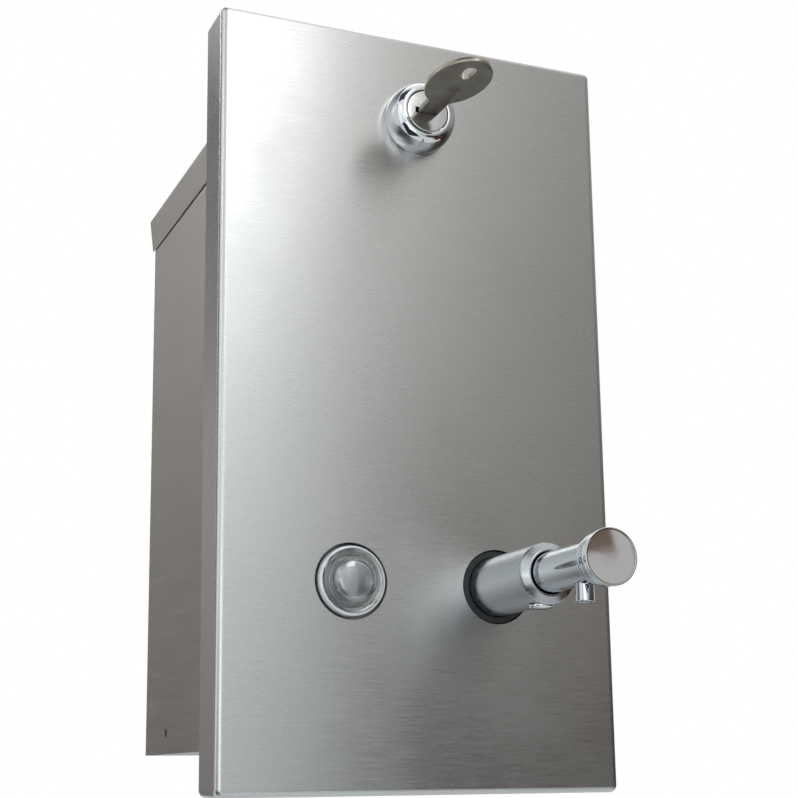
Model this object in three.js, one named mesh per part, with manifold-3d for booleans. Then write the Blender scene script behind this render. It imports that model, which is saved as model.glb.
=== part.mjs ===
// Built-in liquid soap dispenser for a wall recess, in millimetres, with +Z up.
// A sheet steel housing sits in the wall. It holds a soap tank with a sight window and a push valve.
// A lockable front cover slides on over the window and the valve and hides the edge of the recess.
// +X is to the right and +Y into the wall. The code counts heights from the bottom edge of the cover
// and depths from the face of the wall; the exported group has its origin on the back of the housing.

import * as THREE from 'three';
import { mergeVertices } from 'three/addons/utils/BufferGeometryUtils.js';
import Module from 'manifold-3d';

const wasm = await Module();
wasm.setup();

// Driving dimensions, in millimetres.

// Gaps between pieces: faces that rest on each other, turned fits, sheet beside sheet, and cutters.
const fit = { seat: 0.1, slip: 0.15, sheet: 0.3, overrun: 2 };

// Front cover: a pan of folded sheet.
const cover = { width: 165, height: 305, depth: 20, sheet: 1.2, bend: 2.6, corner: 3 };

// Places of the three things that show through the cover.
const place = { valveAcross: 31, windowAcross: -30, soapLine: 79.2, lockDrop: 36.5 };

// Housing: a box of folded sheet with a lip turned inward round its open front.
const housing = { sideInset: 4, rise: 17, topInset: 45.5, depth: 101, sheet: 1.2, lip: 10, bend: 2.5 };
const fixing = { radius: 1.75, fromWall: 65, aboveFloor: 8.4 };

// Top of the housing: a plate with side skirts that lap over the walls and a lip turned down in front.
const cap = { sheet: 1.5, bend: 2, lapGap: 0.5, skirt: 16, lip: 8.5 };

// Shelf inside the housing that carries the tank.
const shelf = { height: 35, sheet: 1.2, bend: 2, skirt: 7, front: 8 };

// Soap tank, its top and the filler mouth with its collar.
const tank = { sideGap: 12.5, proud: 12, backGap: 9, headroom: 51.4, sheet: 1.2, corner: 4 };
const tankTop = { sheet: 1.2, skirt: 8 };
const mouth = { width: 84, length: 40, fromWall: 4, collar: 6, sheet: 1.2 };

// Filler lid, and the pin that it turns on.
const lid = { sheet: 1.2, gap: 0.6, lift: 0.5, drop: 4.5, tail: 3 };
const pin = { radius: 1.5, behindMouth: 8, aboveTank: 4.7, headRadius: 2.6, head: 1 };
const ear = { sheet: 1.2, reach: 5, top: 4 };

// Hook on the back of the tank and the rail on the housing that it hangs from.
const hanger = { width: 90, sheet: 1.2, offset: 3.1, drop: 31.1, leg: 9, foot: 10, play: 0.6 };

// Round sight window of clear plastic, with its gasket and nut.
const lens = {
  flange: 13.5, shank: 11.4, crest: 13, lip: 11.5, lipProud: 2, trough: 9.9, troughDepth: 1,
  cup: 8.9, cupProud: 6.6, crown: 1.2, wall: 2.1, bore: 9.2, shankLength: 10, round: 0.8,
};
const windowHole = { cover: 14.6, gasketInside: 11.6 };
const windowNut = { across: 32, length: 5 };
const gasket = { thickness: 1.5 };

// Push valve: a polished sleeve in front of the tank and a threaded body through its wall.
const sleeve = { radius: 11.5, proud: 41.5, bore: 8.65, nose: 1.8, land: 8.6, mouth: 8, lip: 1.6, edge: 0.5 };
const valveHole = { cover: 14.6, gasketOutside: 14.2, gasketRecess: 0.4 };
const barrel = { radius: 9.3, bore: 5.6, intoSleeve: 13, intoTank: 26 };
const valveNut = { across: 27, length: 5 };
const washer = { radius: 14.5, thickness: 1 };
const bush = { bore: 7.65, length: 8, fromFront: 3.1 };
const wiper = { bore: 7.6, length: 1.3, clear: 0.1 };
const bushScrew = {
  head: 4.7, thickness: 1.7, crown: 0.7, shank: 1.95, fromFront: 6, flat: 10.9, pocket: 5.2,
};

// Inlet at the back of the valve: a cap with a check ball, and a tube down to the tank's floor.
const inlet = {
  radius: 11.6, overlap: 10, wall: 2.9, seat: 2.75, chamber: 7, chamberBore: 4.5, chamberLength: 11,
  nipple: 3.4, nippleBore: 2.4, nippleLength: 9, ball: 4,
};
const dipTube = { radius: 4.9, bore: 3.55, floorGap: 2.2 };

// Plunger: the tube that slides in the sleeve, with its stem, piston, head, button and spout.
const plunger = { radius: 7.5, proud: 81, bore: 3, web: 2.5, stopRadius: 8.3, stop: 1.8 };
const stem = {
  radius: 4, bore: 1.5, socket: 9, length: 48, piston: 5.4, pistonLength: 10, groove: 4.3, grooveWidth: 2.8,
};
const seal = { inside: 4.45, outside: 5.5, width: 2.6 };
const outletBall = { radius: 2.5 };
const head = {
  radius: 9.7, bead: 8.9, beadLength: 1.4, neck: 8.5, cone: 1.8, length: 6.2, cup: 4.1, edge: 0.4,
};
const button = { radius: 10.1, thickness: 2.4, edge: 0.5, rim: 0.9, dish: 0.2, boss: 5.5, gap: 0.7, stud: 3,
  studLength: 9 };
const spout = { radius: 3.3, bore: 2.3, drop: 13.4, root: 4.8, fromHead: 9.5, edge: 0.4, channel: 2 };
const spring = { wire: 0.6, radius: 6.2, turns: 5 };

// Cam lock: a domed body through the cover, a plug with a keyway, a cam and its screw.
const lock = {
  dome: 14.15, rim: 9.9, proud: 11.4, widest: 3, bore: 8.95, boreDepth: 6, barrel: 9, flat: 8,
  barrelLength: 12.5, shankBore: 6.2,
};
const lockNut = { across: 24, thickness: 3 };
const plug = { recess: 0.4, head: 8.75, shank: 6, tail: 3.8, keyway: 4.05, keywayGap: 0.25, keywayDepth: 18.9 };
const cam = { sheet: 1.6, hub: 7.5, reach: 20, arm: 5.5, tip: 2 };
const camScrew = { radius: 1.5, length: 4.1, head: 3.5, headThickness: 1.8 };

// Hook on the housing that the cam turns in behind.
const keeper = { width: 22, sheet: 1.5, foot: 9.4, overCam: 2, bite: 7.5, fromCam: 1.6 };

// Flat key.
const key = {
  thickness: 2, blade: 3.8, bladeLength: 18.3, bladeTip: 1.6, shoulder: 4.3, out: 47.6, bowWidth: 23.2,
  bowLength: 38, neck: 6.4, hole: 2.3, holeLength: 9.5, holeFromEnd: 10.5, cutDepth: 1.2, groove: 0.5, grooveWidth: 1.4,
};

// Pegs on the cover that enter holes in the bottom lip of the housing.
const peg = { radius: 2.5, inset: 23.5, foot: 4.5, footThickness: 1.2, reach: 5, taper: 1.5 };

// Counts of facets, steps and cuts.
const facets = {
  fine: 32, round: 24, small: 14, ball: 7, arc: 6, corner: 4, oval: 16, curl: 8, wire: 5, cuts: 4,
};

// Planes and sizes that follow from the driving dimensions.
const coverFront = -cover.depth;
const coverBack = coverFront + cover.sheet;
const housingHalf = cover.width / 2 - housing.sideInset;
const housingTop = cover.height - housing.topInset;
const shellTop = housingTop - cap.sheet - fit.seat;
const tankHalf = housingHalf - tank.sideGap;
const tankFront = -tank.proud;
const tankBack = housing.depth - tank.backGap;
const tankFloor = shelf.height + fit.seat;
const tankRim = housingTop - tank.headroom;
const tankRoof = tankRim + fit.seat + tankTop.sheet;
const tankInside = tankFront + tank.sheet;
const mouthBack = mouth.fromWall + mouth.length;
const pinY = mouthBack + pin.behindMouth;
const pinZ = tankRoof + pin.aboveTank;
const gasketFront = tankFront - fit.seat - gasket.thickness;
const sleeveBack = gasketFront - fit.seat;
const sleeveFront = coverFront - sleeve.proud;
const barrelFront = sleeveBack - barrel.intoSleeve;
const barrelEnd = tankFront + barrel.intoTank;
const washerFront = tankInside + fit.seat;
const valveNutFront = washerFront + washer.thickness + fit.seat;
const bushFront = sleeveFront + bush.fromFront;
const bushBack = bushFront + bush.length;
const stopFront = bushBack + fit.sheet;
const stopBack = stopFront + plunger.stop;
const plungerFront = coverFront - plunger.proud;
const stemFront = stopBack - stem.socket;
const stemBack = stemFront + stem.length;
const headFront = plungerFront - fit.seat - (head.length - head.cup);
const discBack = headFront - button.gap;
const discFront = discBack - button.thickness;
const studEnd = headFront + button.studLength;
const spoutY = headFront + head.length + spout.fromHead;
const capBack = barrelEnd + fit.seat + inlet.wall;
const lockFront = coverFront - fit.seat - lock.proud;
const lockBack = coverBack + lock.barrelLength;
const plugFront = lockFront + plug.recess;
const camFront = lockBack + fit.sheet;
const camBack = camFront + cam.sheet;
const keyShoulder = plugFront - fit.seat;
const keyEnd = keyShoulder - key.out;

// Where the axes of the round pieces meet the plane of the cover.
const valveAxis = { x: place.valveAcross, z: place.soapLine };
const windowAxis = { x: place.windowAcross, z: place.soapLine };
const lockAxis = { x: 0, z: cover.height - place.lockDrop };

// Materials, by what each piece is made of.
const finish = {
  coverSteel: { color: 0xb9bab8, roughness: 0.38, metalness: 1 },
  bodySteel: { color: 0x8f8a84, roughness: 0.42, metalness: 1 },
  innerSteel: { color: 0xa3a4a3, roughness: 0.45, metalness: 1 },
  chrome: { color: 0xd6d9db, roughness: 0.12, metalness: 1 },
  satin: { color: 0xb4b8ba, roughness: 0.3, metalness: 1 },
  nickel: { color: 0x8b857c, roughness: 0.35, metalness: 1 },
  brass: { color: 0xb59a5a, roughness: 0.4, metalness: 1 },
  rubber: { color: 0x1b1c1e, roughness: 0.75, metalness: 0 },
  clear: { color: 0xdfe6e6, roughness: 0.08, metalness: 0, transparent: true, opacity: 0.4 },
  plastic: { color: 0x2c2e31, roughness: 0.55, metalness: 0 },
  whitePlastic: { color: 0xe4e3dc, roughness: 0.5, metalness: 0 },
};

// A closed geometry as a solid for joining and cutting.
function solidOf(geometry) {
  const bare = geometry.clone();
  bare.deleteAttribute('normal');
  bare.deleteAttribute('uv');
  const merged = mergeVertices(bare);
  const corners = merged.index.array;
  const kept = [];
  for (let i = 0; i < corners.length; i += 3) {
    const [a, b, c] = corners.slice(i, i + 3);
    if (a !== b && b !== c && c !== a) kept.push(a, b, c);
  }
  return new wasm.Manifold(new wasm.Mesh({
    numProp: 3,
    vertProperties: merged.attributes.position.array,
    triVerts: new Uint32Array(kept),
  }));
}

// A solid as a geometry to show.
function geometryOf(solid) {
  const { vertProperties, triVerts, numProp } = solid.getMesh();
  const geometry = new THREE.BufferGeometry();
  geometry.setAttribute('position', new THREE.BufferAttribute(vertProperties, numProp));
  geometry.setIndex(new THREE.BufferAttribute(triVerts, 1));
  geometry.computeVertexNormals();
  return geometry;
}

// A geometry turned about Y from an outline of [radius, distance along the axis].
function latheOf(outline, segments) {
  const points = outline.map(([radius, along]) => new THREE.Vector2(radius, along));
  if (points[0].x > 0) points.push(points[0].clone());
  if (THREE.ShapeUtils.isClockWise(points)) points.reverse();
  return new THREE.LatheGeometry(points, segments);
}

// Turned solids whose axes run into the wall, upward and across.
function turned(outline, { x, z }, segments = facets.round) {
  return solidOf(latheOf(outline, segments).translate(x, 0, z));
}

function turnedUp(outline, { x, y }, segments = facets.small) {
  return solidOf(latheOf(outline, segments).rotateX(Math.PI / 2).translate(x, y, 0));
}

function turnedAcross(outline, { y, z }, segments = facets.small) {
  return solidOf(latheOf(outline, segments).rotateZ(-Math.PI / 2).translate(0, y, z));
}

const rodOutline = (radius, from, to) => [[0, from], [radius, from], [radius, to], [0, to]];
const ringOutline = (inside, outside, from, to) => [
  [inside, from], [outside, from], [outside, to], [inside, to],
];

const rod = (radius, from, to, axis, segments) => turned(rodOutline(radius, from, to), axis, segments);
const rodUp = (radius, from, to, axis, segments) => turnedUp(rodOutline(radius, from, to), axis, segments);
const rodAcross = (radius, from, to, axis) => turnedAcross(rodOutline(radius, from, to), axis);
const ring = (inside, outside, from, to, axis, segments) => (
  turned(ringOutline(inside, outside, from, to), axis, segments)
);

// A block between two corners.
function block([x0, y0, z0], [x1, y1, z1]) {
  const box = new THREE.BoxGeometry(x1 - x0, y1 - y0, z1 - z0);
  return solidOf(box.translate((x0 + x1) / 2, (y0 + y1) / 2, (z0 + z1) / 2));
}

// An outline pushed along one axis: drawn in X and Y and pushed up, drawn in X and Z and pushed into
// the wall, or drawn in Y and Z and pushed across.
function extruded(shape, from, to) {
  return new THREE.ExtrudeGeometry(shape, {
    depth: to - from, bevelEnabled: false, curveSegments: facets.corner,
  });
}

function pushedUp(shape, from, to) {
  return solidOf(extruded(shape, from, to).translate(0, 0, from));
}

function pushedBack(shape, from, to) {
  return solidOf(extruded(shape, from, to).rotateX(Math.PI / 2).translate(0, to, 0));
}

function pushedAcross(shape, from, to) {
  const toSide = new THREE.Matrix4().makeBasis(
    new THREE.Vector3(0, 1, 0), new THREE.Vector3(0, 0, 1), new THREE.Vector3(1, 0, 0),
  );
  return solidOf(extruded(shape, from, to).applyMatrix4(toSide).translate(from, 0, 0));
}

// Outlines.
function polygon(points) {
  return new THREE.Shape(points.map(([u, v]) => new THREE.Vector2(u, v)));
}

function roundedRectangle(left, right, low, high, radius) {
  const shape = new THREE.Shape();
  shape.absarc(right - radius, low + radius, radius, -Math.PI / 2, 0, false);
  shape.absarc(right - radius, high - radius, radius, 0, Math.PI / 2, false);
  shape.absarc(left + radius, high - radius, radius, Math.PI / 2, Math.PI, false);
  shape.absarc(left + radius, low + radius, radius, Math.PI, 1.5 * Math.PI, false);
  return shape;
}

// A sheet folded down at both sides, seen end on.
function channel(half, low, top, sheet, bend) {
  const shape = new THREE.Shape();
  shape.moveTo(-half, low);
  shape.absarc(bend - half, top - bend, bend, Math.PI, Math.PI / 2, true);
  shape.absarc(half - bend, top - bend, bend, Math.PI / 2, 0, true);
  shape.lineTo(half, low);
  shape.lineTo(half - sheet, low);
  shape.absarc(half - bend, top - bend, bend - sheet, 0, Math.PI / 2, false);
  shape.absarc(bend - half, top - bend, bend - sheet, Math.PI / 2, Math.PI, false);
  shape.lineTo(sheet - half, low);
  return shape;
}

function hexagon(across, { x, z }) {
  const corner = across / Math.sqrt(3);
  const points = [];
  for (let i = 0; i < 6; i += 1) {
    const angle = (i * Math.PI) / 3;
    points.push([x + corner * Math.cos(angle), z + corner * Math.sin(angle)]);
  }
  return polygon(points);
}

// A hexagonal nut whose axis runs into the wall.
function nut(across, bore, from, to, axis) {
  const blank = pushedBack(hexagon(across, axis), from, to);
  return blank.subtract(rod(bore, from - fit.overrun, to + fit.overrun, axis));
}

// A shallow pan standing on edge: round corners and a round fold between its sides and its front.
function dish(half, low, high, rim, front, corner, bend) {
  const stations = [[rim, 0]];
  for (let i = 0; i <= facets.corner; i += 1) {
    const angle = (i / facets.corner) * (Math.PI / 2);
    stations.push([front + bend - bend * Math.sin(angle), bend - bend * Math.cos(angle)]);
  }
  const loops = stations.map(([y, inset]) => (
    cornerLoop(half - inset, low + inset, high - inset, corner - inset, y)
  ));
  return solidOf(loftOf(loops));
}

// The points of an upright rectangle with round corners at one depth.
function cornerLoop(half, low, high, radius, y) {
  const centres = [
    [half - radius, low + radius], [half - radius, high - radius],
    [radius - half, high - radius], [radius - half, low + radius],
  ];
  return centres.flatMap(([x, z], quarter) => {
    const points = [];
    for (let i = 0; i <= facets.corner; i += 1) {
      const angle = (quarter - 1 + i / facets.corner) * (Math.PI / 2);
      points.push([x + radius * Math.cos(angle), y, z + radius * Math.sin(angle)]);
    }
    return points;
  });
}

// A closed skin through loops of equal count, with flat ends.
function loftOf(loops) {
  const count = loops[0].length;
  const faces = [];
  for (let k = 0; k + 1 < loops.length; k += 1) {
    for (let i = 0; i < count; i += 1) {
      const next = (i + 1) % count;
      const [a, b] = [k * count + i, k * count + next];
      const [c, d] = [a + count, b + count];
      faces.push(a, b, c, b, d, c);
    }
  }
  const last = (loops.length - 1) * count;
  for (let i = 1; i + 1 < count; i += 1) {
    faces.push(0, i + 1, i, last, last + i, last + i + 1);
  }
  const geometry = new THREE.BufferGeometry();
  geometry.setAttribute('position', new THREE.Float32BufferAttribute(loops.flat(2), 3));
  geometry.setIndex(faces);
  return geometry;
}

// Front cover.

function lockHole() {
  const round = rod(lock.barrel + fit.slip, coverFront - fit.overrun, coverBack + fit.overrun, lockAxis);
  const half = lock.flat + fit.slip;
  return round.intersect(block(
    [-lock.dome, coverFront - fit.overrun, lockAxis.z - half],
    [lock.dome, coverBack + fit.overrun, lockAxis.z + half],
  ));
}

function frontCover() {
  const half = cover.width / 2;
  const outside = dish(half, 0, cover.height, 0, coverFront, cover.corner, cover.bend);
  const inside = dish(
    half - cover.sheet, cover.sheet, cover.height - cover.sheet,
    fit.overrun, coverBack, cover.corner - cover.sheet, cover.bend - cover.sheet,
  );
  const through = (radius, axis) => (
    rod(radius, coverFront - fit.overrun, coverBack + fit.overrun, axis, facets.fine)
  );
  return outside.subtract(inside)
    .subtract(through(windowHole.cover, windowAxis))
    .subtract(through(valveHole.cover, valveAxis))
    .subtract(lockHole());
}

function coverPeg(side) {
  const start = coverBack + fit.seat;
  return turned([
    [0, start], [peg.foot, start], [peg.foot, start + peg.footThickness],
    [peg.radius, start + peg.footThickness], [peg.radius, peg.reach - peg.taper],
    [peg.radius - peg.taper, peg.reach], [0, peg.reach],
  ], pegAxis(side), facets.small);
}

function pegAxis(side) {
  return { x: side * (housingHalf - peg.inset), z: housing.rise + housing.lip / 2 };
}

// Housing.

function housingShell() {
  const { sheet, bend, depth, rise, lip } = housing;
  const floor = rise + sheet;
  const outside = pushedUp(roundedRectangle(-housingHalf, housingHalf, 0, depth, bend), rise, shellTop);
  const insideShape = roundedRectangle(
    sheet - housingHalf, housingHalf - sheet, sheet, depth - sheet, bend - sheet,
  );
  const inside = pushedUp(insideShape, floor, shellTop + fit.overrun);
  const opening = block(
    [lip - housingHalf, -fit.overrun, rise + lip],
    [housingHalf - lip, sheet + fit.overrun, shellTop + fit.overrun],
  );
  const screwHoles = rodAcross(
    fixing.radius, -housingHalf - fit.overrun, housingHalf + fit.overrun,
    { y: fixing.fromWall, z: rise + fixing.aboveFloor },
  );
  const shell = outside.subtract(inside).subtract(opening).subtract(screwHoles);
  return [-1, 1].reduce((cut, side) => cut.subtract(
    rod(peg.radius + fit.sheet, -fit.overrun, sheet + fit.overrun, pegAxis(side), facets.small),
  ), shell);
}

function housingCap() {
  const half = housingHalf + cap.lapGap + cap.sheet;
  const lipHalf = housingHalf - housing.lip - fit.sheet;
  const outline = channel(half, housingTop - cap.skirt, housingTop, cap.sheet, cap.bend);
  const plate = pushedBack(outline, 0, housing.depth);
  return plate.add(block(
    [-lipHalf, 0, shellTop - cap.lip],
    [lipHalf, cap.sheet, housingTop],
  ));
}

function lockKeeper() {
  const back = -fit.seat;
  const front = back - keeper.sheet;
  const top = lockAxis.z + cam.reach + keeper.overCam + keeper.sheet;
  const tabBack = camFront - keeper.fromCam;
  const tabFront = tabBack - keeper.sheet;
  const tabLow = lockAxis.z + cam.reach - keeper.bite;
  const low = housingTop - keeper.foot;
  return pushedAcross(polygon([
    [back, low], [back, top], [tabFront, top], [tabFront, tabLow], [tabBack, tabLow],
    [tabBack, top - keeper.sheet], [front, top - keeper.sheet], [front, low],
  ]), -keeper.width / 2, keeper.width / 2);
}

function tankShelf() {
  const half = housingHalf - housing.sheet - fit.seat;
  const outline = channel(half, shelf.height - shelf.skirt, shelf.height, shelf.sheet, shelf.bend);
  return pushedBack(outline, shelf.front, tankBack);
}

// The rail on the back of the housing and the hook on the back of the tank.
const railBack = housing.depth - housing.sheet - fit.seat;
const railFront = railBack - hanger.offset - hanger.sheet;
const railWeb = tankRim - hanger.drop;
const railTop = railWeb + hanger.leg;

function hangerRail() {
  const { sheet } = hanger;
  const low = railWeb - hanger.foot;
  return pushedAcross(polygon([
    [railBack, low], [railBack, railWeb], [railFront + sheet, railWeb], [railFront + sheet, railTop],
    [railFront, railTop], [railFront, railWeb - sheet], [railBack - sheet, railWeb - sheet],
    [railBack - sheet, low],
  ]), -hanger.width / 2, hanger.width / 2);
}

function tankHanger() {
  const { sheet } = hanger;
  const front = tankBack + fit.seat;
  const leg = railFront + sheet + hanger.play;
  const web = railTop + fit.sheet;
  return pushedAcross(polygon([
    [front, web], [leg, web], [leg, web + sheet - hanger.leg], [leg + sheet, web + sheet - hanger.leg],
    [leg + sheet, web + sheet], [front + sheet, web + sheet], [front + sheet, web + hanger.foot],
    [front, web + hanger.foot],
  ]), -hanger.width / 2, hanger.width / 2);
}

// Soap tank.

function tankShell() {
  const { sheet, corner } = tank;
  const outside = pushedUp(
    roundedRectangle(-tankHalf, tankHalf, tankFront, tankBack, corner), tankFloor, tankRim,
  );
  const inside = pushedUp(
    roundedRectangle(sheet - tankHalf, tankHalf - sheet, tankInside, tankBack - sheet, corner - sheet),
    tankFloor + sheet, tankRim + fit.overrun,
  );
  const through = (radius, axis) => rod(radius, tankFront - fit.overrun, tankInside + fit.overrun, axis);
  return outside.subtract(inside)
    .subtract(through(barrel.radius + fit.slip, valveAxis))
    .subtract(through(lens.shank + fit.slip, windowAxis));
}

// The block of the filler mouth, grown sideways by a margin.
function mouthBlock(margin, low, high) {
  return block(
    [-mouth.width / 2 - margin, mouth.fromWall - margin, low],
    [mouth.width / 2 + margin, mouthBack + margin, high],
  );
}

function pinHoles() {
  const reach = tankHalf + fit.overrun;
  return rodAcross(pin.radius + fit.slip, -reach, reach, { y: pinY, z: pinZ });
}

const lidHalf = mouth.width / 2 + mouth.sheet + lid.gap + lid.sheet;

function tankRoofEar(side) {
  const inner = lidHalf + fit.sheet;
  const across = [side * inner, side * (inner + ear.sheet)].sort((a, b) => a - b);
  return block(
    [across[0], pinY - ear.reach, tankRoof - tankTop.sheet],
    [across[1], pinY + ear.reach, pinZ + ear.top],
  );
}

function tankRoofPlate() {
  const inner = fit.sheet;
  const outer = inner + tankTop.sheet;
  const grown = (margin) => roundedRectangle(
    -tankHalf - margin, tankHalf + margin, tankFront - margin, tankBack + margin, tank.corner + margin,
  );
  const low = tankRim - tankTop.skirt;
  const lidded = pushedUp(grown(outer), low, tankRoof)
    .subtract(pushedUp(grown(inner), low - fit.overrun, tankRim + fit.seat));
  return lidded
    .add(mouthBlock(mouth.sheet, tankRim + fit.seat, tankRoof + mouth.collar))
    .add(tankRoofEar(-1))
    .add(tankRoofEar(1))
    .subtract(mouthBlock(0, tankRim, tankRoof + mouth.collar + fit.overrun))
    .subtract(pinHoles());
}

function fillerLid() {
  const underside = tankRoof + mouth.collar + lid.lift;
  const inner = mouth.sheet + lid.gap;
  const outer = inner + lid.sheet;
  const back = pinY + lid.tail;
  const half = mouth.width / 2;
  const low = underside - lid.drop;
  const outside = block(
    [-half - outer, mouth.fromWall - outer, low], [half + outer, back, underside + lid.sheet],
  );
  const inside = block(
    [-half - inner, mouth.fromWall - inner, low - fit.overrun],
    [half + inner, back + fit.overrun, underside],
  );
  return outside.subtract(inside).subtract(pinHoles());
}

function lidPin() {
  const end = lidHalf + fit.sheet + ear.sheet + fit.seat;
  const tip = end + pin.head;
  return turnedAcross([
    [0, -tip], [pin.headRadius, -tip], [pin.headRadius, -end], [pin.radius, -end],
    [pin.radius, end], [pin.headRadius, end], [pin.headRadius, tip], [0, tip],
  ], { y: pinY, z: pinZ });
}

// Sight window.

function windowLens() {
  const back = gasketFront - fit.seat;
  const shankEnd = back + lens.shankLength;
  const lipTop = coverFront - lens.lipProud;
  const cupTop = coverFront - lens.cupProud;
  const crown = cupTop - lens.crown;
  const trough = lipTop + lens.troughDepth;
  const { flange, shank, crest, lip, cup, wall, bore, round } = lens;
  return turned([
    [bore, shankEnd], [shank, shankEnd], [shank, back], [flange, back], [flange, coverFront],
    [crest, lipTop + round / 2], [crest - round, lipTop], [lip, lipTop + round / 2],
    [lens.trough, trough], [cup, trough - round],
    [cup, cupTop + round], [cup - round, cupTop], [cup / 2, crown + lens.crown / 4], [0, crown],
    [0, crown + wall], [cup - wall, cupTop + wall], [cup - wall, trough + wall / 2],
    [bore, trough + wall],
  ], windowAxis, facets.fine);
}

function windowGasket() {
  return ring(windowHole.gasketInside, lens.flange, gasketFront, gasketFront + gasket.thickness, windowAxis);
}

function windowNutRing() {
  const start = tankInside + fit.seat;
  return nut(windowNut.across, lens.shank + fit.slip, start, start + windowNut.length, windowAxis);
}

// Push valve, the parts that stay still.

function valveSleeve() {
  const step = barrelFront - fit.sheet;
  const { radius, bore, nose, land, mouth: front, lip, edge } = sleeve;
  const noseFront = sleeveFront - nose;
  const body = turned([
    [barrel.radius + fit.slip, sleeveBack], [radius, sleeveBack], [radius, sleeveFront + edge],
    [radius - edge / 4, sleeveFront + edge / 4], [radius - edge, sleeveFront],
    [land, noseFront], [front, noseFront], [front, sleeveFront + lip], [bore, sleeveFront + lip],
    [bore, step], [barrel.radius + fit.slip, step],
  ], valveAxis, facets.fine);
  const screwAxis = { x: valveAxis.x, y: sleeveFront + bushScrew.fromFront };
  const under = valveAxis.z - radius - fit.overrun;
  return body
    .subtract(rodUp(bushScrew.pocket, under, valveAxis.z - bushScrew.flat, screwAxis))
    .subtract(rodUp(bushScrew.shank + fit.slip, under, valveAxis.z - plunger.radius, screwAxis));
}

// A rubber cup: a washer between sleeve and tank, with a collar that fills the hole in the cover.
function valveGasket() {
  const back = gasketFront + gasket.thickness;
  const collarFront = coverFront + valveHole.gasketRecess;
  const inside = barrel.radius + fit.slip;
  const collarInside = sleeve.radius + fit.slip;
  return turned([
    [inside, back], [valveHole.gasketOutside, back], [valveHole.gasketOutside, collarFront],
    [collarInside, collarFront], [collarInside, gasketFront], [inside, gasketFront],
  ], valveAxis, facets.fine);
}

function valveWasher() {
  return ring(barrel.radius + fit.slip, washer.radius, washerFront, washerFront + washer.thickness, valveAxis);
}

function valveNutRing() {
  return nut(
    valveNut.across, barrel.radius + fit.slip, valveNutFront, valveNutFront + valveNut.length, valveAxis,
  );
}

function valveBody() {
  return ring(barrel.bore, barrel.radius, barrelFront, barrelEnd, valveAxis);
}

function guideBush() {
  const tip = valveAxis.z - (bush.bore + sleeve.bore) / 2;
  const screwAxis = { x: valveAxis.x, y: sleeveFront + bushScrew.fromFront };
  return ring(bush.bore, sleeve.bore - fit.seat, bushFront, bushBack, valveAxis)
    .subtract(rodUp(bushScrew.shank + fit.slip, tip - sleeve.radius, tip, screwAxis));
}

function wiperSeal() {
  const back = bushFront - fit.seat;
  return ring(wiper.bore, sleeve.bore - wiper.clear, back - wiper.length, back, valveAxis);
}

function bushSetScrew() {
  const tip = -(bush.bore + sleeve.bore) / 2 - fit.seat;
  const under = -bushScrew.flat - fit.seat;
  const crown = under - bushScrew.thickness;
  return turnedUp([
    [0, tip], [bushScrew.shank, tip], [bushScrew.shank, under], [bushScrew.head, under],
    [bushScrew.head, crown + bushScrew.crown],
    [bushScrew.head - bushScrew.crown, crown + bushScrew.crown / 4],
    [0, crown],
  ].map(([radius, height]) => [radius, valveAxis.z + height]),
  { x: valveAxis.x, y: sleeveFront + bushScrew.fromFront });
}

function inletCap() {
  const { radius, overlap, chamber, chamberBore, chamberLength, wall } = inlet;
  const nippleAxis = { x: valveAxis.x, y: capBack + chamberLength / 2 };
  const nippleEnd = valveAxis.z - chamber - inlet.nippleLength;
  return rod(radius, barrelEnd - overlap, capBack, valveAxis)
    .add(rod(chamber, capBack - wall / 2, capBack + chamberLength, valveAxis))
    .add(rodUp(inlet.nipple, nippleEnd, valveAxis.z, nippleAxis))
    .subtract(rod(
      barrel.radius + fit.slip, barrelEnd - overlap - fit.overrun, barrelEnd + fit.seat, valveAxis,
    ))
    .subtract(rod(inlet.seat, barrelEnd, capBack + fit.overrun, valveAxis))
    .subtract(rod(chamberBore, capBack, capBack + chamberLength - (chamber - chamberBore), valveAxis))
    .subtract(rodUp(inlet.nippleBore, nippleEnd - fit.overrun, valveAxis.z, nippleAxis));
}

// A ball resting a hair off the edge of a round seat; the seat lies toward the wall or toward the front.
function ball(radius, seatRadius, seatY, side) {
  const stand = Math.sqrt(radius ** 2 - seatRadius ** 2) + fit.seat;
  const sphere = new THREE.SphereGeometry(radius, facets.small, facets.ball);
  return solidOf(sphere.rotateX(Math.PI / 2).translate(valveAxis.x, seatY + side * stand, valveAxis.z));
}

const inletBall = () => ball(inlet.ball, inlet.seat, barrelEnd + fit.seat, -1);
const outletCheck = () => ball(outletBall.radius, stem.bore, stemFront, -1);

function dipTubePiece() {
  const axis = { x: valveAxis.x, y: capBack + inlet.chamberLength / 2 };
  const low = tankFloor + tank.sheet + dipTube.floorGap;
  const high = valveAxis.z - inlet.chamber - fit.sheet;
  return turnedUp(ringOutline(dipTube.bore, dipTube.radius, low, high), axis);
}

// A coil spring between the plunger's stop and the valve body, as one unbroken wire.
function returnSpring() {
  const start = stopBack + fit.seat + spring.wire;
  const end = barrelFront - fit.seat - spring.wire;
  const steps = spring.turns * facets.curl;
  const loops = [];
  for (let i = 0; i <= steps; i += 1) {
    const turn = (i / facets.curl) * 2 * Math.PI;
    const y = start + (end - start) * (i / steps);
    const loop = [];
    for (let k = 0; k < facets.wire; k += 1) {
      const angle = (-k / facets.wire) * 2 * Math.PI;
      const radius = spring.radius + spring.wire * Math.cos(angle);
      loop.push([
        valveAxis.x + radius * Math.sin(turn), y + spring.wire * Math.sin(angle),
        valveAxis.z + radius * Math.cos(turn),
      ]);
    }
    loops.push(loop);
  }
  return solidOf(loftOf(loops));
}

// Plunger.

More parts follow.
